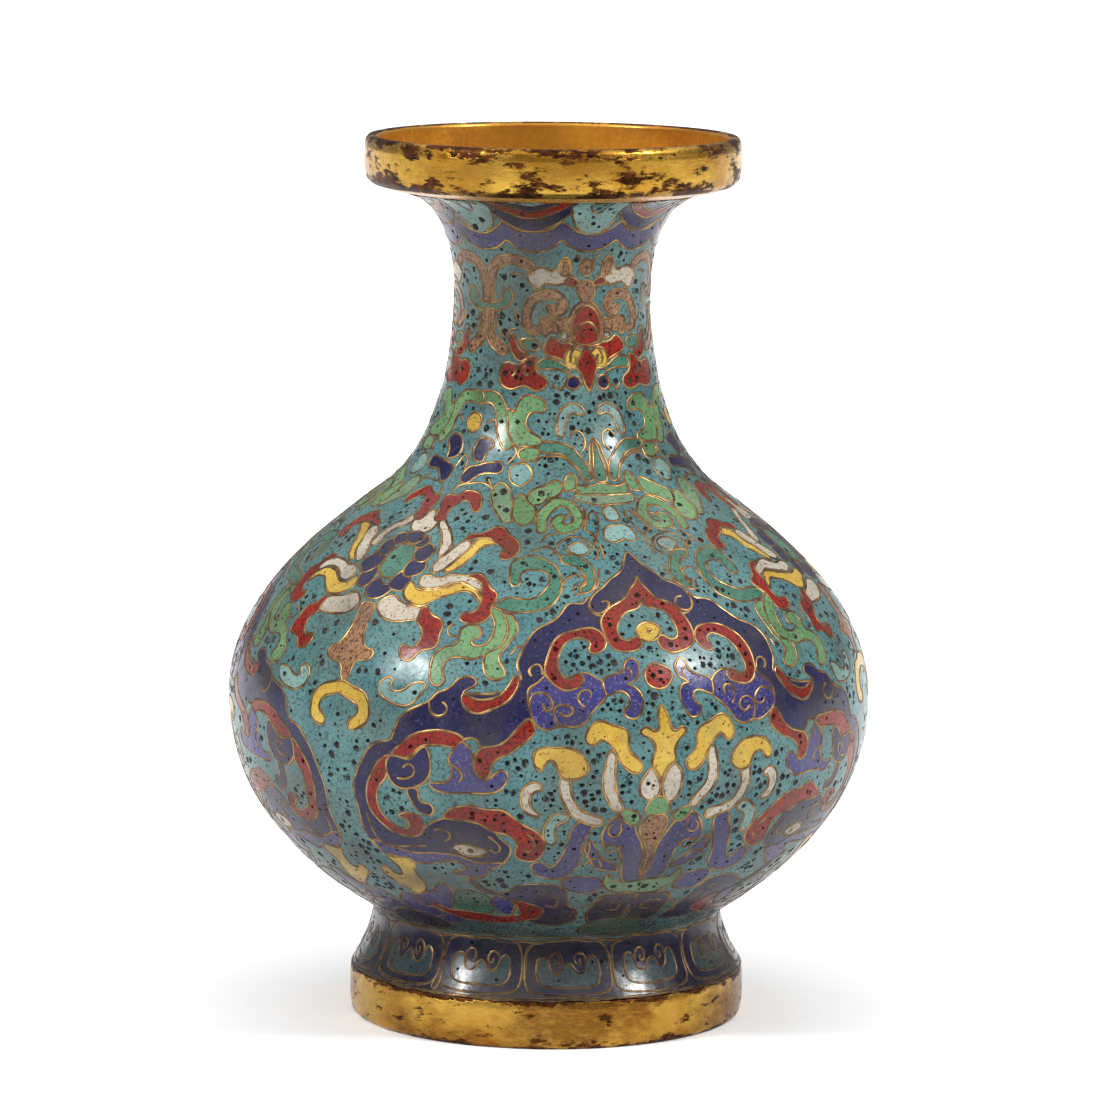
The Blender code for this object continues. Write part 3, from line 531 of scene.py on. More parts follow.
def draw_shoulder():
    """Green scrolls and fans above the lappets, and cobalt commas above the flowers."""
    paint("spiral", "light_green", ribbon(
        [(-2.2, 81.3), (-2.4, 83.5), (-0.8, 85.6), (2.5, 86.7), (6.2, 86.3), (8.6, 84.8), (8.7, 82.9),
         (6.8, 81.7), (4, 81.6), (2.4, 82.6), (3.4, 83.6)], 1.6))
    paint("green_leaf", "light_green", blob(
        [(-13.5, 86.5), (-11, 88), (-8.5, 87), (-6, 86), (-4.5, 84.8), (-5, 83.3), (-7, 82.2),
         (-9.5, 82.2), (-11.5, 83.2), (-13, 84.7)]))
    paint("side_green", "pale_green", blob(
        [(-22, 88.6), (-19, 89.8), (-15.6, 89), (-13.6, 87), (-13.2, 84.6), (-11.6, 82.8), (-14, 82.8),
         (-18, 84.6), (-21, 86.4)]))
    paint("cup_leaf", "light_green", blob(
        [(-9, 87.6), (-8, 88.5), (-1, 90), (1.3, 90.8), (3.3, 90.4), (4, 89.2), (3.5, 88.2), (1, 87.5),
         (-1.5, 87.3), (-3.5, 86.3), (-6, 86), (-8.3, 86.8)]))
    paint("cup_lobe", "light_green", blob(
        [(4, 89), (6, 91.3), (8, 91.8), (9.8, 91), (10, 90), (9, 89), (6.5, 88.7), (5, 88.4)]))
    paint("cup_band", "light_green", half([(20, 90), (17, 89.9), (13, 89.6), (9.8, 89.8), (9.6, 88.3),
                                           (13, 88), (20, 88.2)], LAPPET), LAPPET)
    paint("cup_foot", "pale_green", half([(20, 88.2), (13, 88), (8.2, 88.2), (8.6, 86.9), (12, 86.5),
                                          (16, 86.2), (20, 86.1)], LAPPET), LAPPET)
    paint("fan", "teal", ribbon([(-3.5, 95.5), (1, 95.6), (5, 95.4), (9, 94.5), (12.5, 93),
                                 (14.5, 91.2)], 1.6))
    paint("lily", "teal", half([(20, 96.4), (18.4, 94.8), (17.6, 92.4), (17.4, 90.4),
                                (20, 90.2)], LAPPET), LAPPET)
    paint("c_curl", "pale_turquoise", blob(
        [(3, 97.3), (2.5, 98.8), (3.5, 100.2), (6, 101.2), (10, 101.8), (14, 101.4), (17, 100.4),
         (15, 99.9), (12, 100.4), (9, 100.1), (7.3, 99.2), (6.8, 98), (6, 97), (4.5, 96.8)]))
    paint("big_leaf", "light_green", blob(
        [(-22, 101), (-19.4, 100.4), (-17.4, 101.6), (-14, 102.8), (-8, 102.6), (-3.5, 101.9),
         (-2.5, 100.9), (-4.5, 100.4), (-9, 100.6), (-11.5, 100.2), (-12.5, 99), (-11, 98), (-7, 97.3),
         (-4, 97), (-4, 96.2), (-8, 95.7), (-15, 95.7), (-20, 96.1), (-22.3, 97.4), (-23.6, 99),
         (-23.6, 100.4)]))
    paint("low_leaf", "light_green", blob([(-14.4, 94.8), (-11, 95.5), (-6, 95.5), (-4.4, 94.9),
                                           (-5.4, 93.8), (-9, 93.3), (-13, 93.7)]))
    paint("garland", "light_green", ribbon(
        [(-40, 102.1), (-34, 102.4), (-29, 102), (-26, 100.8), (-24.9, 98.9), (-23, 97),
         (-20, 95.8)], 1.7))
    paint("oval", "yellow", disc(-40, 98.6, 1.25, 1.5), FLOWER)
    paint("upper_comma", "cobalt", blob(
        [(-36.7, 95), (-35, 96.2), (-31, 96.6), (-27.8, 96.1), (-26, 95.4), (-28, 94.8), (-30, 93.9),
         (-29.6, 92.8), (-33, 92.9), (-36, 93.7)]))
    paint("lower_comma", "cobalt", blob(
        [(-37.2, 90.8), (-35.5, 91.9), (-32.5, 92.2), (-29, 92.6), (-25, 92.9), (-20.5, 93),
         (-19.3, 92.3), (-20.5, 91.4), (-28, 91), (-31, 90.2), (-33.5, 89.2), (-36.4, 89.6)]))
    paint("pale_leaf", "pale_turquoise", blob([(-17, 91.8), (-14.6, 93), (-10, 92.9), (-7.6, 91.8),
                                               (-8.2, 90.2), (-12, 89.4), (-15.6, 90.2)]))
    paint("pearl", "pale_turquoise", half([(20, 86), (18.2, 85.6), (17.4, 84.3), (18.2, 83),
                                           (20, 82.8)], LAPPET), LAPPET)
    for points in (
        [(15.6, 91), (16.2, 93.6), (17.8, 95.8), (20, 96.9)],
        [(12, 78.5), (13.5, 80.4), (15.4, 83), (15, 84.8), (13, 84.6), (12.6, 83)],
        [(10.4, 81.4), (11.4, 83.4), (11.8, 85.6)],
        [(5, 83.2), (5.8, 84.4), (7, 84.2)],
        [(-24, 90.4), (-22, 88.6)],
        [(-6.4, 93.2), (-3, 94.2), (3, 94.3), (8, 93.4), (11.4, 91.8), (12.6, 90)],
        [(-40, 93.8), (-37.6, 92.8), (-37.2, 91.4)],
        [(9, 97), (12, 98), (15, 97.4), (16, 95.8), (13.6, 95)],
        [(-33, 98.5), (-29, 99.4), (-26.6, 98.4), (-28, 97.3)],
        [(-38, 87.4), (-36, 88.8), (-31, 89.4), (-25, 89.6), (-21.6, 88.4)],
        [(-17, 95.6), (-14.8, 94.8), (-17.6, 92.9)],
        [(-20, 100.4), (-18, 100.7), (-18.4, 101.6)],
    ):
        line(points)


def draw_neck():
    """Ruyi cloud, garland with a tied ribbon, and a red blossom under each cloud."""
    paint("hoop", "pink", ribbon([(-38.3, 114.6), (-38.1, 117.2), (-36.6, 119.5), (-33, 121),
                                  (-26, 121.7), (-19, 121.7), (-12.6, 120.7)], 1.3))
    paint("tie", "teal", half(
        [(-40, 115.5), (-34, 115.7), (-30.4, 116.4), (-29.4, 117.5), (-26.5, 117.8), (-24, 117.2),
         (-23.4, 116.2), (-25, 115.3), (-29, 114.8), (-34, 114.3), (-40, 114.2)], FLOWER), FLOWER)
    paint("legs", "pink", ribbon([(-38.2, 114), (-37.9, 112), (-36.3, 110.6), (-33, 109.7),
                                  (-28.4, 108.9)], 1.6))
    paint("cloud_tip", "white", blob(
        [(-15.5, 119.2), (-12.5, 118.2), (-10.8, 117.5), (-7, 117.6), (-3.5, 118.5), (2, 118.2),
         (6, 118.3), (9.5, 118.9), (10.6, 120), (10.3, 121.4), (8.5, 122.2), (6.4, 122.3), (4.2, 121.6),
         (2.6, 120.6), (-1, 120.2), (-4.5, 120.7), (-8, 120.7), (-12, 120.1)]))
    paint("cloud_knob", "pink", blob([(4.6, 120.6), (5, 121.6), (7, 122), (9.2, 121.6), (9.8, 120.4),
                                      (8, 119.4), (5.6, 119.5)]))
    paint("red_scroll", "red", blob(
        [(-29.5, 105.8), (-28.5, 106.9), (-25, 107.3), (-18, 106.9), (-14, 107.9), (-11, 108.3),
         (-8, 108.4), (-8.6, 107.2), (-8, 106.2), (-6, 105.6), (-3, 105.4), (-1.6, 104.6), (-4, 103.7),
         (-8, 103.4), (-12, 103.8), (-15.5, 104.1), (-19.5, 103.6), (-24, 103.6), (-28, 104.3)]))
    paint("red_leaf", "red", blob(
        [(-25.3, 110.8), (-24, 111.5), (-21.8, 111.2), (-20.4, 110), (-18, 109), (-12, 108.5),
         (-14, 107.9), (-18, 107.4), (-21.6, 108.1), (-24.4, 109.4)]))
    paint("pink_curl", "pink", ribbon(
        [(-9.6, 111.8), (-14, 112.4), (-14.6, 114), (-11.9, 115.8), (-4.9, 116.8), (2.6, 116.8),
         (6.6, 115.8), (5.6, 114.7), (1.6, 114.4), (-0.8, 115)], 1.2))
    paint("tan_patch", "pink", blob(
        [(-7.2, 113.5), (-6.4, 112), (-4.5, 111), (-1, 111.9), (3, 111.4), (5, 112), (9.6, 112.2),
         (9.2, 113.5), (3, 113.4), (-3, 113.8)]))
    paint("sliver", "pale_turquoise", blob([(4, 111.2), (7, 111.7), (9.8, 111.2), (8, 110.6),
                                            (5, 110.6)]))
    paint("strip", "teal", blob([(-19, 110.6), (-15, 110.7), (-8, 110.6), (-6, 109.8), (-9, 109),
                                 (-15, 109.2)]))
    paint("wing", "red", blob(
        [(-5, 109.3), (-3.5, 110.2), (-1, 110.9), (0.8, 111.1), (3, 110.5), (6, 110.1), (11.5, 110.2),
         (12.6, 109.6), (10.5, 108.6), (9, 107.7), (5, 108), (0, 108.5), (-3, 108.6)]))
    paint("neck_crescent", "teal", blob(
        [(-8, 106.8), (-6.5, 107.7), (-2, 108.2), (3, 107.8), (7, 107.2), (11, 106.4), (9, 106),
         (5, 106.5), (-1, 106.6), (-5, 106.4)]))
    paint("halo", "pink", half([(20, 116), (15.6, 115.7), (11.6, 114.7), (8.8, 113), (8.6, 111.2),
                                (11, 110), (20, 109.6)], LAPPET), LAPPET)
    paint("bud", "yellow", disc(12.8, 108.1, 1.4, 1.45))
    paint("berry_blue", "cobalt", disc(11.5, 104.7, 1.05))
    paint("blossom_high", "red", half([(20, 115.3), (16.8, 115.1), (13.6, 114.3), (11.4, 113),
                                       (11, 111.4), (13, 110.2), (20, 110)], LAPPET), LAPPET)
    paint("blossom_low", "red", half([(20, 113), (17.5, 112.9), (14.5, 112.3), (12.8, 111.4),
                                      (13.4, 110.2), (20, 109.8)], LAPPET), LAPPET)
    paint("blossom_drop", "red", half(
        [(20, 103.2), (18, 104.2), (16.5, 105.6), (14.5, 106.5), (14, 107.5), (16, 108.2), (18.5, 109),
         (20, 109.8)], LAPPET, pointed=True), LAPPET)
    paint("vase_body", "pink", half([(20, 119), (16, 118.6), (14.6, 117.4), (16.2, 116.4), (17, 115.9),
                                     (20, 115.6)], LAPPET), LAPPET)
    paint("feather", "red", blob([(7.5, 118.6), (10, 119.4), (14, 119.2), (16.5, 118.4), (13, 118.1)]))
    paint("top_ball", "pink", disc(20, 120.7, 1.0, 1.2), LAPPET)
    for points in (
        [(-29.5, 105.8), (-28, 106.9), (-23, 107.2), (-19.6, 106.7), (-19.2, 105.9), (-21.5, 105.3)],
        [(-12, 105.6), (-14.5, 105.6), (-16, 106.4), (-14.2, 106.9)],
        [(-33, 114), (-32.4, 112.4), (-30, 111.4), (-27.2, 110.6)],
        [(-27.2, 110.6), (-24.6, 111.9), (-20, 112), (-18.9, 110.9), (-16, 109.6)],
        [(-1.5, 112.6), (1, 113), (3.4, 112.6), (3, 111.9)],
        [(12.6, 109.5), (10.6, 108.5), (11.4, 107.2), (13.8, 107.4), (14, 108.5), (12.8, 108.5)],
        [(-36.5, 112.7), (-34.6, 111), (-31, 109.6)],
        [(-25, 119.4), (-21, 119.8), (-18.4, 119.6)],
        [(13, 122.6), (16, 121.8), (17.4, 120.6)],
        [(9.6, 105.9), (6.5, 104.2), (2.5, 103.6), (0.5, 104.4)],
        [(-22, 115), (-20.6, 113.4), (-18, 112.8)],
    ):
        line(points)


SCALLOPS = 12
SCALLOP = 180 / SCALLOPS  # half the angle of one scallop
ROUND_TOP = 134  # above the collar's upper edge, so that the half rounds run out of it
# each half round of the collar from the outside in: name, colour, half width in degrees, lowest point
PALE_ROUND = (("fan", "pale_turquoise", 11, 125.2), ("fan_top", "turquoise", 5, 129.4))
DARK_ROUND = (("shell", "cobalt", 19, 126), ("arch", "red", 16.5, 128.2),
              ("arch_line", "dark_violet", 13, 129.7), ("arch_top", "pale_turquoise", 8.5, 131.2))


def draw_collar():
    """Violet scallops round the flare, with pale and dark half rounds standing on them by turns."""
    dark_first = sorted(range(SCALLOPS), key=lambda k: 1 - k % 2)
    for k in dark_first:
        pale = k % 2 == 0
        middle = LAPPET + 2 * SCALLOP * k

        def round_at(points, where=middle):
            return blob([(where + a, s) for a, s in points])

        for part, colour, wide, low in PALE_ROUND if pale else DARK_ROUND:
            shoulder = 0.66 * wide
            fill((part, k), colour, round_at(
                [(-wide, ROUND_TOP), (-wide, low + 4), (-shoulder, low + 1.4), (0, low),
                 (shoulder, low + 1.4), (wide, low + 4), (wide, ROUND_TOP)]))
        peak = 125.5 if pale else 126.1
        fill(("scallops", 0), "violet", round_at(
            [(-SCALLOP, 124.8), (-SCALLOP, 124.8), (-9, 123.5), (0, 123), (9, 123.5), (SCALLOP, 124.8),
             (SCALLOP, 124.8), (SCALLOP, 127.9), (SCALLOP, 127.9), (9, 126.3), (0, peak), (-9, 126.3),
             (-SCALLOP, 127.9), (-SCALLOP, 127.9)]))


FRETS = 13
FRET_START = 6.9  # degrees, to the middle of the first fret
FRET_HALF = 13.0
CHIP = ("chip", 0)  # where a splinter of enamel is missing between two frets
FRET_LOW = 1.2
FRET_HIGH = 8.1


def draw_foot():
    """Cobalt key frets round the foot, each a frame with a scrolled turquoise inlay."""
    low, high, side = FRET_LOW, FRET_HIGH, FRET_HALF
    outer = [(-side, low + 1), (-side, high - 1), (1.6 - side, high), (side - 1.6, high), (side, high - 1),
             (side, low + 1), (side - 1.6, low), (1.6 - side, low)]
    half_inlay = [(-9.4, 2.9), (-9.6, 5), (-8.7, 6.2), (-7.1, 6.4), (-6, 5.5), (-5.6, 4.4), (-4, 3.8),
                  (-2.2, 4.2), (-1.2, 5.1)]
    other_half = [(-a, s) for a, s in reversed(half_inlay)]
    inlay = [(-7.8, 2.2)] + half_inlay + [(0, 5.6)] + other_half + [(7.8, 2.2)]
    left = [(-6, 5.5), (-5.2, 6.6), (-3.5, 7), (-2.2, 6.3), (-2.3, 5.3), (-3.4, 4.9), (-4.2, 5.5),
            (-3.7, 6)]
    right = [(-a, s) for a, s in left]
    for k in range(FRETS):
        middle = FRET_START + k * 360 / FRETS

        def here(points, turn=middle):
            return [(turn + a, s) for a, s in points]

        pitch = 180 / FRETS + 0.5
        ground = [(-pitch, -1), (-pitch, 8.35), (pitch, 8.35), (pitch, -1)]
        fill(("foot_ground", 0), "dark_violet", straight(here(ground)))
        fill(("frame", k), "cobalt", blob(here(outer)))
        # the inlays take the darker copy of the turquoise, a painted shade of the foot under the belly
        fill(("inlay", k), "turquoise_foot", blob(here(inlay)))
        for points in (left, right):
            LINES.extend(wander(m) for m in around(smooth(here(points), False)))
    fill(CHIP, "dark_violet", blob([(-36, 0.6), (-34.3, 0.5), (-33.7, 1.6), (-34, 3.6), (-34.5, 5.4),
                                    (-35.2, 4), (-35.3, 2.4)]))


for draw in (draw_lappet, draw_creature, draw_under_belly, draw_lotus, draw_flower, draw_shoulder,
             draw_neck, draw_collar, draw_foot):
    draw()

BOXES = np.array([[*loop.min(axis=0), *loop.max(axis=0)] for loop, _ in LOOPS])


def inside(points, loop):
    """Whether the closed loop winds round each point."""
    x, y = points[:, :1], points[:, 1:]
    (x0, y0), (x1, y1) = loop.T, np.roll(loop, -1, axis=0).T
    side = (x1 - x0) * (y - y0) - (y1 - y0) * (x - x0)
    rising = (y0 <= y) & (y1 > y) & (side > 0)
    falling = (y0 > y) & (y1 <= y) & (side < 0)
    return rising.sum(axis=1) != falling.sum(axis=1)


def cell_at(points):
    """The number of the topmost cell at each point."""
    found = np.zeros(len(points), int)
    order = np.argsort(points[:, 0])
    across = points[order, 0]
    for (loop, cell), (x0, y0, x1, y1) in zip(LOOPS, BOXES):
        near = order[np.searchsorted(across, x0):np.searchsorted(across, x1)]
        near = near[(points[near, 1] >= y0) & (points[near, 1] <= y1)]
        if len(near):
            found[near[inside(points[near], loop)]] = cell
    return found


# ---------------------------------------------------------------- pits in the enamel

PIT_SEED = 7
PIT_SPACING = 1.12  # mm between the places that may hold a pit
PIT_FROM = 0.8  # mm up to the lowest row of places
PIT_TO = TOP_UP - 0.6
PIT_LOWEST = 0.7  # mm up that a pit may stray down to
BACK_SEAM = 179.4  # degrees to either side that pits may lie, short of the seam behind
PIT_JITTER = 0.36  # share of the way to the next place that a pit strays sideways
PIT_STRAY = 0.42  # mm that it strays up or down
PIT_SMALLEST = 0.19  # mm, radius
PIT_RANGE = 0.42  # mm from the smallest radius to the largest
PIT_RIM = 8  # corners round a pit's mouth
PIT_FLOOR = 0.62  # size of its floor, as a share of its mouth
PIT_DEEPEST = 0.42  # mm
PIT_CLEAR = 0.28  # mm that a pit keeps from the next wire
SEAM_CLEAR = 0.12  # mm that it keeps from the edge of a band
# for each enamel: the share of places that hold a pit, where the pits are crowded
PIT_SHARE = {"turquoise": 1.0, "pale_turquoise": 0.6, "light_green": 0.5, "pale_green": 0.5,
             "teal": 0.6, "red": 1.0, "cobalt": 0.3, "violet": 0.35, "bright_cobalt": 0.25,
             "dark_violet": 0.4, "pink": 0.7, "white": 0.3, "yellow": 0.16, "turquoise_foot": 0.6}
# and how much smaller its pits are
PIT_SMALL = {"red": 0.8, "white": 0.6, "yellow": 0.5, "cobalt": 0.55, "violet": 0.55, "bright_cobalt": 0.5,
             "pink": 0.6}


def crowding(angle, up):
    """How close the pits lie: crowded inside the lappets and round the neck, sparse beside the flowers."""
    pitch = 360 / REPEATS
    off_axis = np.abs((angle - LAPPET + pitch / 2) % pitch - pitch / 2)
    lappet = np.clip((30 - off_axis) / 10, 0, 1)
    lappet = lappet * np.clip((up - 18) / 6, 0, 1) * np.clip((72 - up) / 6, 0, 1)
    neck = np.clip((up - 80) / 10, 0, 1) * 0.6
    patches = 0.5 + 0.3 * np.sin(np.radians(3 * angle) + up / 7) * np.sin(np.radians(8 * angle) - up / 5)
    calm = np.exp(-((angle + 32) / 26) ** 2 - ((up - 62) / 20) ** 2)
    crowded = np.maximum(np.maximum(lappet, neck), patches)
    return np.clip(crowded * (1 - 0.75 * calm * (1 - lappet)), 0.06, 1)


def scatter_pits():
    """Centres and radii of the pits, each inside one cell and clear of its wires, and their uneven rims."""
    random = np.random.default_rng(PIT_SEED)
    places = []
    for up in np.arange(PIT_FROM, PIT_TO, PIT_SPACING):
        count = int(FULL * radius_at(np.interp(up, UP, FLAT)) / PIT_SPACING)
        angles = (np.arange(count) + random.uniform(-PIT_JITTER, PIT_JITTER, count)) * 360 / count - 180
        places.append(np.column_stack([angles, up + random.uniform(-PIT_STRAY, PIT_STRAY, count)]))
    places = np.concatenate(places)
    places = places[(np.abs(places[:, 0]) < BACK_SEAM) & (places[:, 1] > PIT_LOWEST)]
    centres = to_plane(places)
    cells = cell_at(centres)
    shade = np.array(COLOURS)[cells]
    share = np.vectorize(PIT_SHARE.get)(shade) * crowding(places[:, 0], places[:, 1])
    small = np.array([PIT_SMALL.get(name, 1.0) for name in shade])
    radii = small * (PIT_SMALLEST + PIT_RANGE * random.random(len(places)) ** 1.4)
    keep = random.random(len(places)) < share
    for cut in (WAIST_UP, BELLY_UP, NECK_UP):
        keep &= np.abs(places[:, 1] - cut) > radii + SEAM_CLEAR
    reach = ((radii + PIT_CLEAR) / radius_at(centres[:, 1]))[:, None]
    for turn in np.arange(PIT_RIM) * FULL / PIT_RIM:
        around_it = centres + reach * (math.cos(turn), math.sin(turn))
        keep &= cell_at(around_it) == cells
    return centres[keep], radii[keep], random.uniform(0.8, 1.2, (keep.sum(), PIT_RIM))


# ---------------------------------------------------------------- the mosaic

BANDS = {"foot": (0.0, WAIST_UP), "lower": (WAIST_UP, BELLY_UP), "upper": (BELLY_UP, NECK_UP),
         "neck": (NECK_UP, TOP_UP)}
GRID = 1.2  # mm between the points that carry the surface's curve
THICK = 0.6  # mm, the enamel's sheet


def build_mosaic():
    """Cuts the unrolled surface into triangles along every outline, and says what each is made of."""
    points, edges = [], []

    def add_line(line_points, closed):
        first, count = len(points), len(line_points)
        points.extend(line_points.tolist())
        ring = list(range(first, first + count))
        edges.extend(zip(ring, ring[1:] + (ring[:1] if closed else [])))

    cuts = sorted({u for span in BANDS.values() for u in span})
    rows = np.concatenate([np.linspace(a, b, max(2, round((b - a) / GRID)), endpoint=False)
                           for a, b in zip(cuts, cuts[1:])] + [[cuts[-1]]])
    flats = np.interp(rows, UP, FLAT)
    for up, flat in zip(rows, flats):
        count = round(FULL * float(radius_at(flat)) / GRID)
        row = np.column_stack([np.linspace(-math.pi, math.pi, count + 1), np.full(count + 1, flat)])
        if min(abs(up - cut) for cut in cuts) < 1e-6:
            add_line(row, False)
        else:
            points.extend(row[1:-1].tolist())
    for side in (-math.pi, math.pi):
        add_line(np.column_stack([np.full(len(flats), side), flats]), False)
    for loop, _ in LOOPS:
        add_line(loop, True)
    centres, radii, rough = scatter_pits()
    pit_of, depth_of = {}, {}
    for number, (centre, radius, uneven) in enumerate(zip(centres, radii, rough)):
        scale = radius / float(radius_at(centre[1]))
        turn = np.arange(PIT_RIM) * FULL / PIT_RIM
        spokes = np.column_stack([np.cos(turn), np.sin(turn)]) * uneven[:, None] * scale
        first = len(points)
        add_line(centre + spokes, True)
        points.extend((centre + PIT_FLOOR * spokes[::2]).tolist() + [centre.tolist()])
        deepest = min(PIT_DEEPEST, radius * 1.2)
        for i in range(first, len(points)):
            pit_of[i] = number
            if i < first + PIT_RIM:
                depth_of[i] = 0.0
            else:
                depth_of[i] = (0.75 if i < len(points) - 1 else 1.0) * deepest
    verts, _, faces, origins, _, _ = delaunay_2d_cdt([Vector(p) for p in points], edges, [], 0, 1e-7, True)
    xy = np.array([tuple(v) for v in verts])
    pit = np.array([next((pit_of[o] for o in from_ if o in pit_of), -1) for from_ in origins])
    depth = np.array([max([depth_of.get(o, 0.0) for o in from_] or [0.0]) for from_ in origins])
    triangles = np.array(faces)
    middle = xy[triangles].mean(axis=1)
    kept = (np.abs(middle[:, 0]) < math.pi) & (middle[:, 1] > FLAT[0]) & (middle[:, 1] < FLAT[-1])
    triangles, middle = triangles[kept], middle[kept]
    a, b, c = (xy[triangles[:, i]] for i in range(3))
    turned = ((b - a)[:, 0] * (c - a)[:, 1] - (b - a)[:, 1] * (c - a)[:, 0]) < 0
    triangles[turned] = triangles[turned][:, ::-1]
    pits = pit[triangles]
    in_pit = (pits[:, 0] >= 0) & (pits[:, 0] == pits[:, 1]) & (pits[:, 1] == pits[:, 2])
    return xy, depth, triangles, cell_at(middle), in_pit, np.interp(middle[:, 1], FLAT, UP)


def make(name, points, faces, materials, indices=None, nodes=(), sharp=40):
    mesh = bpy.data.meshes.new(name)
    mesh.from_pydata(points.tolist() if hasattr(points, "tolist") else points, [],
                     faces.tolist() if hasattr(faces, "tolist") else faces)
    for material in materials:
        mesh.materials.append(material)
    if indices is not None:
        mesh.polygons.foreach_set("material_index", np.asarray(indices, np.int32))
    mesh.shade_smooth()
    mesh.set_sharp_from_angle(angle=math.radians(sharp))
    piece = bpy.data.objects.new(name, mesh)
    bpy.context.scene.collection.objects.link(piece)
    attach(piece, "root")
    if nodes:
        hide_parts(*nodes)
    return piece


def tile(name, xy, depth, triangles, in_pit, materials, nodes):
    """A closed sheet of enamel: its face with the pits sunk in it, its back and its edges."""
    used, faces = np.unique(triangles, return_inverse=True)
    faces = faces.reshape(-1, 3)
    count = len(used)
    front = place(xy[used], -depth[used])
    back = place(xy[used], -THICK)
    sides = np.concatenate([faces[:, [0, 1]], faces[:, [1, 2]], faces[:, [2, 0]]])
    low, high = sides.min(axis=1), sides.max(axis=1)
    _, first, times = np.unique(low * count + high, return_index=True, return_counts=True)
    rim = sides[first[times == 1]]
    walls_a = np.column_stack([rim[:, 1], rim[:, 0], rim[:, 0] + count])
    walls_b = np.column_stack([rim[:, 1], rim[:, 0] + count, rim[:, 1] + count])
    every = np.concatenate([faces, faces[:, ::-1] + count, walls_a, walls_b])
    index = np.zeros(len(every), int)
    index[:len(faces)] = in_pit
    return make(name, np.concatenate([front, back]), every, materials, index, nodes)


# ---------------------------------------------------------------- wires

# (across, lift) in mm: a raised ridge with a flat film on either side, and a root in the enamel
WIRE_SECTION = [(-0.29, -0.04), (-0.26, 0.01), (-0.115, 0.018), (-0.065, 0.05), (0.065, 0.05),
                (0.115, 0.018), (0.26, 0.01), (0.29, -0.04), (0, -0.25)]
FILM = 0.18  # mm from the wire's middle: the tarnish film beyond this waxes and wanes along the wire
GILT_SIDES = (2, 3, 4)  # the sides of the section where the gilding shows; the rest is tarnish


def boundary_chains(triangles, cells):
    """Lines of vertices along every edge between two different cells."""
    sides = np.concatenate([triangles[:, [0, 1]], triangles[:, [1, 2]], triangles[:, [2, 0]]])
    owner = np.tile(cells, 3)
    low, high = sides.min(axis=1), sides.max(axis=1)
    order = np.lexsort((high, low))
    low, high, owner = low[order], high[order], owner[order]
    between = (low[1:] == low[:-1]) & (high[1:] == high[:-1]) & (owner[1:] != owner[:-1])
    links = {}
    for a, b in zip(low[1:][between].tolist(), high[1:][between].tolist()):
        links.setdefault(a, []).append(b)
        links.setdefault(b, []).append(a)
    chains = []

    def follow(start, step):
        chain = [start, step]
        links[start].remove(step)
        links[step].remove(start)
        while len(links[chain[-1]]) == 1 and chain[-1] not in ends:
            here = chain[-1]
            after = links[here][0]
            links[here].remove(after)
            links[after].remove(here)
            chain.append(after)
        return chain

    ends = {v for v, near in links.items() if len(near) != 2}
    for v in sorted(ends):
        while links[v]:
            chains.append(follow(v, links[v][0]))
    for v in sorted(links):
        while links[v]:
            chains.append(follow(v, links[v][0]))
    return chains


def even(line_points):
    """The line with its closest points thinned out and its kinks eased, its ends kept."""
    scale = float(radius_at(line_points[:, 1].mean()))
    reach = np.concatenate([[0], np.cumsum(np.linalg.norm(np.diff(line_points, axis=0), axis=1) * scale)])
    if reach[-1] < 0.25:
        return None
    at = np.linspace(0, reach[-1], max(2, round(reach[-1] / STEP) + 1))
    out = np.column_stack([np.interp(at, reach, line_points[:, i]) for i in (0, 1)])
    if np.linalg.norm(out[0] - out[-1]) * scale < 1e-3:
        out[0] = out[-1] = (out[1] + out[-2] + 2 * out[0]) / 4
    out[1:-1] = (out[:-2] + 2 * out[1:-1] + out[2:]) / 4
    return out


def sweep(lines):
    """Points, faces and material numbers of a wire along each line."""
    stations, headings, firsts = [], [], []
    total = 0
    for points in lines:
        heading = np.gradient(points, axis=0)
        if np.linalg.norm(points[0] - points[-1]) < 1e-5:
            heading[0] = heading[-1] = points[1] - points[-2]
        stations.append(points)
        headings.append(heading)
        firsts.append((total, len(points)))
        total += len(points)
    stations, headings = np.concatenate(stations), np.concatenate(headings)
    headings = headings / np.maximum(np.linalg.norm(headings, axis=1), 1e-12)[:, None]
    rim = len(WIRE_SECTION)
    swell = 0.72 + 0.28 * np.sin(67 * stations[:, 0] + 53 * stations[:, 1]) * np.sin(
        43 * stations[:, 0] - 71 * stations[:, 1])
    points = np.stack([place(stations, lift, across * (swell if abs(across) > FILM else 1.0), headings)
                       for across, lift in WIRE_SECTION], axis=1)
    starts = np.concatenate([np.arange(first, first + count - 1) for first, count in firsts])
    faces, index = [], []
    for i in range(rim):
        j = (i + 1) % rim
        faces.append(np.column_stack([starts * rim + i, starts * rim + j, (starts + 1) * rim + j,
                                      (starts + 1) * rim + i]))
        index.append(np.full(len(starts), 0 if i in GILT_SIDES else 1))
    caps = []
    for first, count in firsts:
        caps.append([first * rim + i for i in reversed(range(rim))])
        caps.append([(first + count - 1) * rim + i for i in range(rim)])
    faces = np.concatenate(faces).tolist() + caps
    return points.reshape(-1, 3), faces, np.concatenate(index + [np.ones(len(caps), int)])


# ---------------------------------------------------------------- materials

EXPOSED = 0.62  # the colours are dimmed by this, to look as they should in the studio's light


def unscreened(share):
    """A display value from 0 to 1, turned into an amount of light."""
    return share / 12.92 if share <= 0.04045 else ((share + 0.055) / 1.055) ** 2.4


def linear(red, green, blue):
    """A colour given in 0 to 255 display values, as the shader wants it."""
    return tuple(EXPOSED * unscreened(value / 255) for value in (red, green, blue)) + (1.0,)


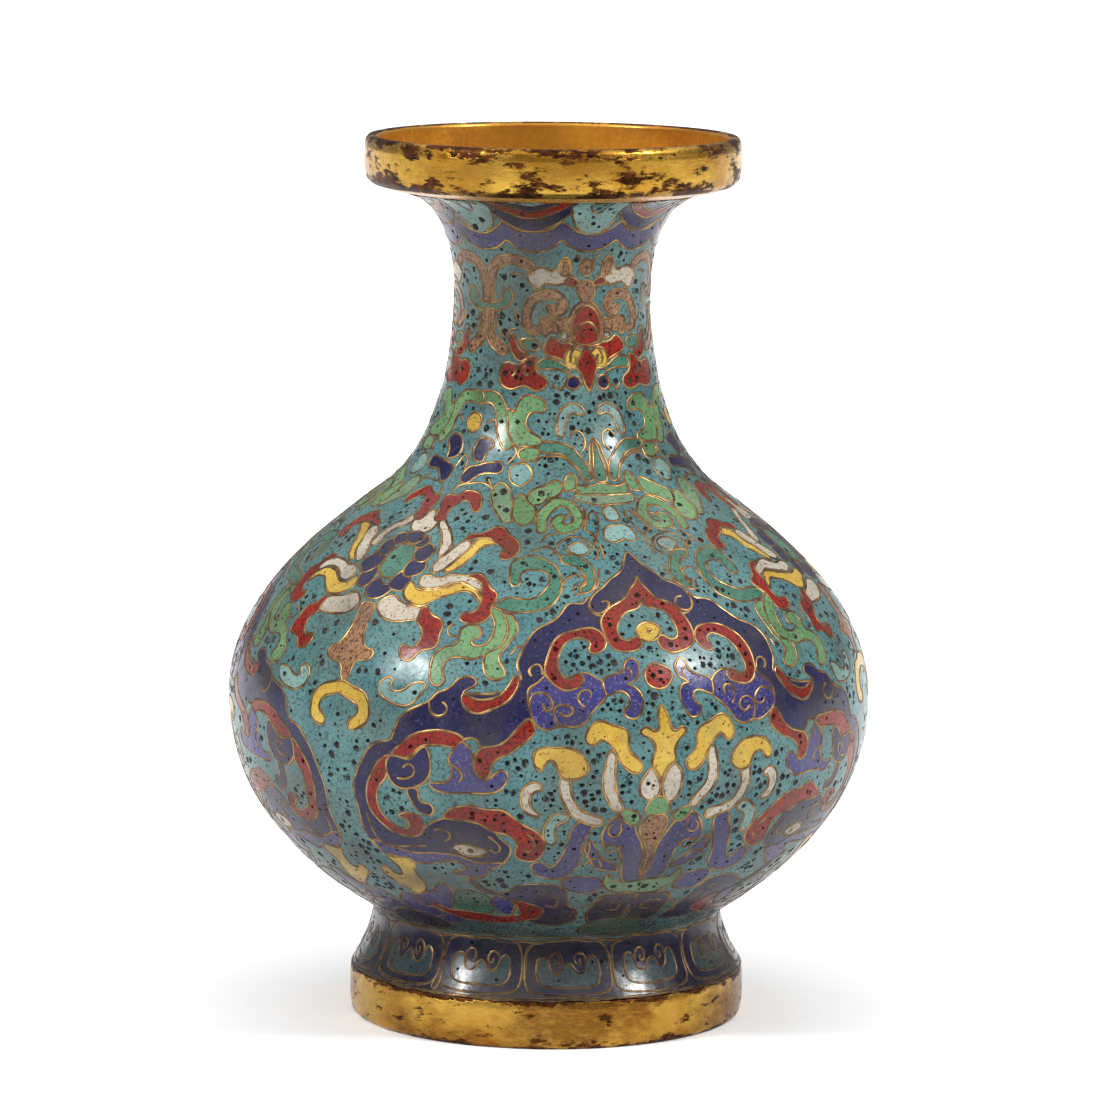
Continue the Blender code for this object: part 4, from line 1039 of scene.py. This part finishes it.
UNDER_SHADE_FROM = 0.012  # heights in metres between which the painted shade under the belly thins out
UNDER_SHADE_TO = 0.04
STAIN_FROM = 0.088  # and between which the brown bloom thickens towards the mouth
STAIN_TO = 0.108


class Shader:
    """A small helper to wire up one material's nodes."""

    def __init__(self, name):
        self.material = bpy.data.materials.new(name)
        self.material.use_nodes = True
        self.nodes = self.material.node_tree.nodes
        self.links = self.material.node_tree.links
        self.surface = self.nodes["Principled BSDF"]
        self.where = self.nodes.new("ShaderNodeTexCoord").outputs["Object"]

    def add(self, kind, **values):
        node = self.nodes.new("ShaderNode" + kind)
        for key, value in values.items():
            if hasattr(node, key):
                setattr(node, key, value)
            else:
                node.inputs[key.replace("_", " ")].default_value = value
        return node

    def noise(self, scale, detail=3.0, rough=0.55, squash=None, seed=0.0):
        """Noise over the object, in features per metre."""
        node = self.add("TexNoise", Scale=scale, Detail=detail, Roughness=rough)
        moved = self.add("Mapping")
        moved.inputs["Location"].default_value = (seed, seed * 0.7, seed * 1.3)
        moved.inputs["Scale"].default_value = squash or (1, 1, 1)
        self.links.new(self.where, moved.inputs["Vector"])
        self.links.new(moved.outputs["Vector"], node.inputs["Vector"])
        return node.outputs["Fac"]

    def cells(self, scale, seed=0.0):
        node = self.add("TexVoronoi", Scale=scale)
        moved = self.add("Mapping")
        moved.inputs["Location"].default_value = (seed, seed, seed)
        self.links.new(self.where, moved.inputs["Vector"])
        self.links.new(moved.outputs["Vector"], node.inputs["Vector"])
        return node.outputs["Distance"]

    def span(self, value, low, high, to_low=0.0, to_high=1.0):
        node = self.add("MapRange", From_Min=low, From_Max=high, To_Min=to_low, To_Max=to_high)
        self.links.new(value, node.inputs["Value"])
        return node.outputs["Result"]

    def combine(self, a, b, operation="MULTIPLY"):
        node = self.add("Math", operation=operation)
        self.links.new(a, node.inputs[0])
        self.links.new(b, node.inputs[1])
        return node.outputs["Value"]

    def mix(self, share, a, b):
        node = self.add("Mix", data_type="RGBA")
        colours = [i for i in node.inputs if i.type == "RGBA"]
        self.links.new(share, node.inputs[0])
        for value, socket in zip((a, b), colours):
            if isinstance(value, tuple):
                socket.default_value = value
            else:
                self.links.new(value, socket)
        return next(o for o in node.outputs if o.type == "RGBA")

    def under_shade_and_bloom(self, colour):
        """Painted shade that darkens the colour from the lower belly down to the foot, and a brownish bloom
        that thickens up the neck.
        """
        parts = self.add("SeparateXYZ")
        self.links.new(self.where, parts.inputs["Vector"])
        height = parts.outputs["Z"]
        # painted shade: near-black mixed into the colour, strongest at the foot and fading out up the
        # underside of the belly
        underside = self.span(height, UNDER_SHADE_FROM, UNDER_SHADE_TO, 0.5, 0)
        low = self.combine(self.noise(130, 4, seed=12), underside, "ADD")
        shaded_below = self.mix(self.span(low, 0.5, 0.95, 0, 0.72), colour, linear(24, 20, 24))
        high = self.span(height, STAIN_FROM, STAIN_TO, 0, 0.09)
        bloom = self.span(self.combine(self.noise(75, 5, 0.62, seed=21), high, "ADD"), 0.46, 0.68, 0, 0.46)
        return self.mix(bloom, shaded_below, linear(88, 80, 62))

    def finish(self, colour, rough, bump, strength, depth=0.00005):
        self.links.new(colour, self.surface.inputs["Base Color"])
        self.links.new(rough, self.surface.inputs["Roughness"])
        node = self.add("Bump", Strength=strength, Distance=depth)
        self.links.new(bump, node.inputs["Height"])
        self.links.new(node.outputs["Normal"], self.surface.inputs["Normal"])
        return self.material


# for each enamel: main colour, cloudier colour, fleck colour, share of flecks, record's slot
ENAMELS = {
    "turquoise": ((76, 124, 128), (102, 144, 142), (52, 76, 70), 0.14, "turquoise_enamel"),
    # a darker copy of the turquoise for the foot's inlays: painted shade of the foot under the belly
    "turquoise_foot": ((62, 102, 110), (84, 122, 128), (40, 54, 64), 0.14, "turquoise_enamel"),
    "pale_turquoise": ((118, 160, 158), (148, 180, 172), (80, 104, 92), 0.10, "turquoise_enamel"),
    "teal": ((54, 112, 94), (80, 132, 110), (36, 68, 56), 0.12, "green_enamel"),
    "light_green": ((94, 142, 92), (122, 162, 112), (60, 84, 58), 0.10, "green_enamel"),
    "pale_green": ((110, 142, 112), (134, 162, 130), (76, 96, 74), 0.10, "green_enamel"),
    "cobalt": ((22, 20, 60), (34, 31, 78), (76, 70, 104), 0.06, "cobalt_enamel"),
    "bright_cobalt": ((40, 38, 104), (58, 56, 128), (120, 114, 156), 0.10, "cobalt_enamel"),
    "violet": ((54, 50, 102), (74, 70, 126), (112, 106, 136), 0.10, "cobalt_enamel"),
    "dark_violet": ((29, 26, 50), (44, 42, 70), (78, 74, 98), 0.08, "cobalt_enamel"),
    "red": ((136, 20, 9), (162, 34, 15), (62, 14, 8), 0.16, "red_enamel"),
    "yellow": ((210, 166, 52), (222, 188, 84), (140, 98, 36), 0.08, "yellow_enamel"),
    "white": ((192, 181, 162), (208, 198, 180), (136, 114, 90), 0.10, "white_enamel"),
    "pink": ((152, 102, 72), (174, 130, 96), (88, 52, 34), 0.16, "pink_enamel"),
}
GLOSS = 0.27  # of the shader's usual reflection: old glass with a worn polish
PIT_COLOURS = {"red": (34, 12, 8), "pink": (62, 32, 20), "white": (70, 44, 30), "yellow": (96, 60, 22),
               "cobalt": (14, 12, 22), "violet": (16, 14, 26), "bright_cobalt": (18, 16, 34)}


def enamel(name):
    """Glass with cloudy patches, flecks of undissolved colour, pinholes and a worn polish."""
    main, cloudy, fleck, share, _ = ENAMELS[name]
    s = Shader(name + "_enamel")
    clouds = s.mix(s.span(s.noise(160, 4, seed=len(name)), 0.38, 0.64), linear(*main), linear(*cloudy))
    if name == "turquoise":
        clouds = s.mix(s.span(s.noise(42, 3, seed=31), 0.48, 0.68, 0, 0.6), clouds, linear(70, 124, 134))
    grain = s.mix(s.span(s.noise(1500, 2, seed=3), 0.44, 0.62, 0, 0.4), clouds, linear(*cloudy))
    sparse = s.span(s.noise(2300, 2, 0.6, seed=9), 0.66 - share, 0.74 - share, 0, 0.8)
    flecks = s.mix(sparse, grain, linear(*fleck))
    pinholes = s.span(s.cells(1150, seed=2), 0.10, 0.17, 1, 0)
    some = s.span(s.noise(420, 2, seed=5), 0.52, 0.58)
    holes = s.combine(pinholes, some)
    colour = s.mix(holes, flecks, linear(*PIT_COLOURS.get(name, (30, 22, 18))))
    rough = s.span(s.noise(500, 4, 0.6, seed=1), 0.3, 0.7, 0.16, 0.34)
    s.surface.inputs["IOR"].default_value = 1.5
    s.surface.inputs["Specular IOR Level"].default_value = GLOSS
    height = s.combine(s.noise(900, 3, seed=4), holes, "SUBTRACT")
    # with the painted shade low down and the brownish bloom up the neck
    return s.finish(s.under_shade_and_bloom(colour), rough, height, 0.45)


def pit_glass(name):
    """The rough brown-black inside of a burst bubble."""
    s = Shader(name + "_pit")
    dark = PIT_COLOURS.get(name, (22, 16, 13))
    light = tuple(c * 2 + 12 for c in dark)
    colour = s.mix(s.span(s.noise(1900, 3, seed=6), 0.45, 0.7), linear(*dark), linear(*light))
    return s.finish(colour, s.span(s.noise(1500, 2), 0.3, 0.7, 0.5, 0.8), s.noise(4200, 2), 0.5)


def wire_gilt():
    s = Shader("cloison_wire_gilt")
    s.surface.inputs["Metallic"].default_value = 1.0
    worn = s.span(s.noise(420, 3, seed=2), 0.38, 0.6)
    # the same painted shade low down, and the brownish bloom up the neck
    colour = s.under_shade_and_bloom(s.mix(worn, linear(216, 172, 104), linear(122, 84, 52)))
    return s.finish(colour, s.span(s.noise(900, 3), 0.3, 0.7, 0.28, 0.5), s.noise(3000, 2), 0.3)


def wire_tarnish():
    """Brown film where the enamel has shrunk from the wire."""
    s = Shader("cloison_wire_tarnish")
    colour = s.mix(s.span(s.noise(520, 4, 0.6, seed=7), 0.4, 0.62), linear(44, 30, 21), linear(104, 78, 54))
    return s.finish(colour, s.span(s.noise(1400, 3), 0.3, 0.7, 0.45, 0.7), s.noise(3600, 3), 0.5)


def gilt(name, bright, deep, wear, stain, edges=()):
    """Fire gilding, stained and worn through to brown bronze in streaks. A lower wear wears more of it.

    Each edge, given as its height and reach in metres and a strength, is worn more than the rest."""
    s = Shader(name)
    s.surface.inputs["Metallic"].default_value = 1.0
    gold = s.mix(s.span(s.noise(90, 4, seed=3), 0.35, 0.68), linear(*bright), linear(*deep))
    stains = s.span(s.noise(62, 6, 0.66, squash=(1, 1, 1.9), seed=14), 0.43, 0.55, 0, stain)
    gold = s.mix(stains, gold, linear(132, 80, 34))
    streaks = s.span(s.noise(900, 3, squash=(1, 1, 5), seed=8), 0.46, 0.72, 0, 0.6)
    streaked = s.mix(streaks, gold, linear(*deep))
    patches = s.noise(190, 7, 0.68, squash=(1, 1, 2.6), seed=5)
    height = s.add("SeparateXYZ")
    s.links.new(s.where, height.inputs["Vector"])
    for middle, reach, amount in edges:
        near = s.add("Math", operation="SUBTRACT")
        near.inputs[1].default_value = middle
        s.links.new(height.outputs["Z"], near.inputs[0])
        away = s.add("Math", operation="ABSOLUTE")
        s.links.new(near.outputs["Value"], away.inputs[0])
        patches = s.combine(patches, s.span(away.outputs["Value"], 0, reach, amount, 0), "ADD")
    worn = s.span(patches, wear, wear + 0.05)
    brown = s.mix(s.span(s.noise(700, 4, seed=2), 0.4, 0.65), linear(58, 34, 20), linear(112, 66, 34))
    colour = s.mix(worn, streaked, brown)
    fine = s.span(s.noise(1300, 3, seed=1), 0.3, 0.7, 0.2, 0.36)
    rough = s.combine(fine, s.span(worn, 0, 1, 0, 0.22), "ADD")
    return s.finish(colour, rough, s.combine(s.noise(1600, 3, squash=(1, 1, 3)), worn, "SUBTRACT"), 0.35)


def plain_metal(name, colour, other, rough):
    s = Shader(name)
    s.surface.inputs["Metallic"].default_value = 1.0
    tone = s.mix(s.span(s.noise(240, 4), 0.35, 0.65), linear(*colour), linear(*other))
    return s.finish(tone, s.span(s.noise(900, 3), 0.3, 0.7, rough, rough + 0.2), s.noise(2000, 3), 0.3)


# ---------------------------------------------------------------- the pieces

xy, depth, triangles, cells, in_pit, heights = build_mosaic()
in_pit |= cells == CELLS[CHIP]  # the chip is as dark and rough as the inside of a pit
colour_of = np.array(COLOURS)
fret_names = [f"{k + 1:02d}" for k in range(FRETS)]
BAND_NODES = {"foot": ["foot_enamel"], "lower": ["underbelly_enamel", "belly_enamel"],
              "upper": ["belly_enamel", "shoulder_enamel"], "neck": ["neck_enamel", "collar_enamel"]}
for name in ENAMELS:
    looks = [enamel(name), pit_glass(name)]
    for band, (low, high) in BANDS.items():
        chosen = (colour_of[cells] == name) & (heights > low) & (heights <= high)
        if not chosen.any():
            continue
        nodes = list(BAND_NODES[band])
        if band == "foot" and name == "cobalt":
            nodes = [f"foot_fret_cell_{k}" for k in fret_names]
        tile(f"{name}_{band}", xy, depth, triangles[chosen], in_pit[chosen], looks, nodes)

wire_looks = [wire_gilt(), wire_tarnish()]
borders = [even(xy[chain]) for chain in boundary_chains(triangles, cells)]
lines = borders + [even(points) for points in LINES]
lines = [points for points in lines if points is not None]
WIRE_NODES = {"foot": ["foot_border_wire"] + [f"foot_fret_wire_{k}" for k in fret_names],
              "lower": ["waist_border_wire"], "upper": [], "neck": []}
for up in (0.12, WAIST_UP):
    ring = np.column_stack([np.linspace(-math.pi, math.pi, 361), np.full(361, np.interp(up, UP, FLAT))])
    lines.append(ring)
for band, (low, high) in BANDS.items():
    chosen = [points for points in lines if low <= np.interp(points[:, 1].mean(), FLAT, UP) < high]
    points, faces, index = sweep(chosen)
    make(f"wires_{band}", points, faces, wire_looks, index, WIRE_NODES[band])


def turned(name, section, material, slot, nodes, segments=180, dent=0.03):
    """A ring turned from its closed section of (radius, height) in mm, with old metal's slight dents."""
    section = np.array(section, float)
    turn = np.arange(segments) * FULL / segments
    uneven = dent * (np.sin(3 * turn + 1) + 0.7 * np.sin(7 * turn) + 0.5 * np.sin(19 * turn + 2))
    r = section[None, :, 0] + uneven[:, None] * (section[None, :, 0] > 1) - dent * 2
    points = np.stack([r * np.sin(turn)[:, None], -r * np.cos(turn)[:, None],
                       np.broadcast_to(section[None, :, 1], r.shape)], axis=2)
    count = len(section)
    faces = []
    for i in range(segments):
        for j in range(count):
            a, b = i * count, ((i + 1) % segments) * count
            k = (j + 1) % count
            faces.append((a + j, b + j, b + k, a + k))
    return make(name, points.reshape(-1, 3) * MM, faces, [material], None, nodes, sharp=34)


def rounded(section, radius, steps=3):
    """The closed section with each corner turned into a small arc."""
    p = np.array(section, float)
    out = []
    for i in range(len(p)):
        back, on = p[i - 1] - p[i], p[(i + 1) % len(p)] - p[i]
        a = p[i] + back * min(0.45, radius / np.linalg.norm(back))
        b = p[i] + on * min(0.45, radius / np.linalg.norm(on))
        for t in np.linspace(0, 1, steps + 1):
            out.append((1 - t) ** 2 * a + 2 * t * (1 - t) * p[i] + t * t * b)
    return out


MOUTH_RIM = [(21.3, 117.25), (23.6, 117.65), (25.5, 118.25), (26.3, 119.0), (26.6, 120.4),
             (26.6, 123.4), (26.4, 124.5), (26.0, 125), (25.2, 125), (24.8, 124.6), (24.8, 118.9),
             (23.4, 118.55), (21.35, 118.0)]
FOOT_RIM = [(25.2, 0), (27.4, 0), (27.85, 0.5), (28.1, 2.2), (28.1, 5.6), (27.95, 6.8), (27.0, 6.8),
            (27.0, 5.0), (24.8, 5.0), (24.8, 0.4)]
INNER_WALL = 24.95  # mm: the mouth ring's faces nearer the middle than this have the inner gilding
mouth_gilt = gilt("mouth_gilt", (246, 200, 92), (206, 146, 44), 0.525, 0.5,
                  [(0.1248, 0.0014, 0.09), (0.1186, 0.0014, 0.14)])
foot_gilt = gilt("foot_gilt", (246, 200, 98), (206, 150, 58), 0.57, 0.85,
                 [(0.0068, 0.0009, 0.17), (0.0, 0.0009, 0.14)])
inner_gilt = gilt("inner_gilt", (250, 186, 66), (226, 150, 40), 0.74, 0.3)
inner_gilt.node_tree.nodes["Principled BSDF"].inputs["Metallic"].default_value = 0.55
ring = turned("mouth_ring", rounded(MOUTH_RIM, 0.25), mouth_gilt, "gilt_bronze", ["mouth_rim"])
ring.data.materials.append(inner_gilt)
for face in ring.data.polygons:
    face.material_index = int(face.center.xy.length < INNER_WALL * MM)
turned("foot_ring", rounded(FOOT_RIM, 0.2), foot_gilt, "gilt_bronze", ["foot_rim"])
CORE_OUT = 0.95  # mm from the enamel's face in to the copper
CORE_IN = 2.05  # mm from the enamel's face in to the bore
LINING_LIP = [[24.7, 118.98], [24.7, 120.05]]  # (radius, height) in mm, against the mouth ring's inner wall
RIM_SEAM = [(24.78, 120), (24.78, 121), (24.4, 120.4), (23.9, 120.02)]


def lining():
    """The neck's copper with its gilt bore, from the shoulder joint up to the mouth ring."""
    ups = np.linspace(NECK_UP, TOP_UP, 60)
    flats = np.interp(ups, UP, FLAT)
    r, z = radius_at(flats), np.interp(flats, FLAT, PROFILE[:, 1])
    dr, dz = np.interp(flats, FLAT, SLOPE[:, 0]), np.interp(flats, FLAT, SLOPE[:, 1])
    outer = np.column_stack([r - dz * CORE_OUT, z + dr * CORE_OUT])
    inner = np.column_stack([r - dz * CORE_IN, z + dr * CORE_IN])
    return outer.tolist() + LINING_LIP + inner[::-1].tolist()


turned("rim_seam", RIM_SEAM, inner_gilt, "silver_solder", ["rim_seam_solder"])
turned("neck_lining", lining(), inner_gilt, "gilt_bronze", ["neck_core"], dent=0.0)
core_copper = plain_metal("core_copper", (184, 110, 74), (150, 84, 56), 0.35)
seam_silver = plain_metal("seam_silver", (190, 188, 180), (150, 148, 142), 0.3)
base_gilt = gilt("base_gilt", (232, 184, 84), (186, 130, 44), 0.6, 0.5)
for name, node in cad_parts.items():
    if name.endswith("_core"):
        looks = core_copper
    elif name.endswith("_solder"):
        looks = seam_silver
    elif name == "base_plate":
        looks = base_gilt
    else:
        continue
    node.material_slots[0].link = "OBJECT"
    node.material_slots[0].material = looks

# ---------------------------------------------------------------- studio

# name, degrees round and up, degrees across as seen from the vase, strength
LAMPS = (("left", -58, 36, 9, 2.2), ("right", 63, 37, 9, 2.2), ("top", 0, 84, 110, 2.38))
WORLD_LIGHT = 0.34
FLOOR_HALF = 6.0  # metres
CAMERA_AT = (0, -0.85634, 0.19071)
CAMERA_AIM = (0, 0, 0.06613)
LENS = 199.74  # mm, on a sensor 36 mm wide
ROLL = 0.5  # degrees that the camera leans


def lay_floor():
    paper = Shader("paper")
    clouds = paper.span(paper.noise(40, 3), 0.3, 0.7)
    white = paper.mix(clouds, (0.86, 0.86, 0.86, 1), (0.84, 0.84, 0.84, 1))
    paper.surface.inputs["Specular IOR Level"].default_value = 0.1
    rough = paper.span(paper.noise(80), 0.3, 0.7, 0.85, 0.95)
    paper_look = paper.finish(white, rough, paper.noise(900, 2), 0.02)
    corners = [(x * FLOOR_HALF, y * FLOOR_HALF, 0) for x, y in ((-1, -1), (1, -1), (1, 1), (-1, 1))]
    mesh = bpy.data.meshes.new("floor")
    mesh.from_pydata(corners, [], [(0, 1, 2, 3)])
    mesh.materials.append(paper_look)
    floor = bpy.data.objects.new("floor", mesh)
    bpy.context.scene.collection.objects.link(floor)


def light():
    scene = bpy.context.scene
    world = bpy.data.worlds.new("studio")
    world.use_nodes = True
    world.node_tree.nodes["Background"].inputs["Color"].default_value = (1, 1, 1, 1)
    world.node_tree.nodes["Background"].inputs["Strength"].default_value = WORLD_LIGHT
    scene.world = world
    for name, azimuth, height, width, strength in LAMPS:
        lamp = bpy.data.lights.new(name, "SUN")
        lamp.angle = math.radians(width)
        lamp.energy = strength
        sun = bpy.data.objects.new(name, lamp)
        a, e = math.radians(azimuth), math.radians(height)
        sun.location = Vector((math.sin(a) * math.cos(e), -math.cos(a) * math.cos(e), math.sin(e)))
        sun.rotation_euler = (-sun.location).to_track_quat("-Z", "Y").to_euler()
        scene.collection.objects.link(sun)


def set_camera():
    scene = bpy.context.scene
    scene.view_settings.view_transform = "Standard"
    view = bpy.data.cameras.new("camera")
    view.lens = LENS
    view.sensor_width = 36.0
    camera = bpy.data.objects.new("camera", view)
    camera.location = CAMERA_AT
    aim = (Vector(CAMERA_AIM) - camera.location).to_track_quat("-Z", "Y")
    lean = Matrix.Rotation(math.radians(ROLL), 4, "Z")
    camera.rotation_euler = (aim.to_matrix().to_4x4() @ lean).to_euler()
    scene.collection.objects.link(camera)
    scene.camera = camera


lay_floor()
light()
set_camera()
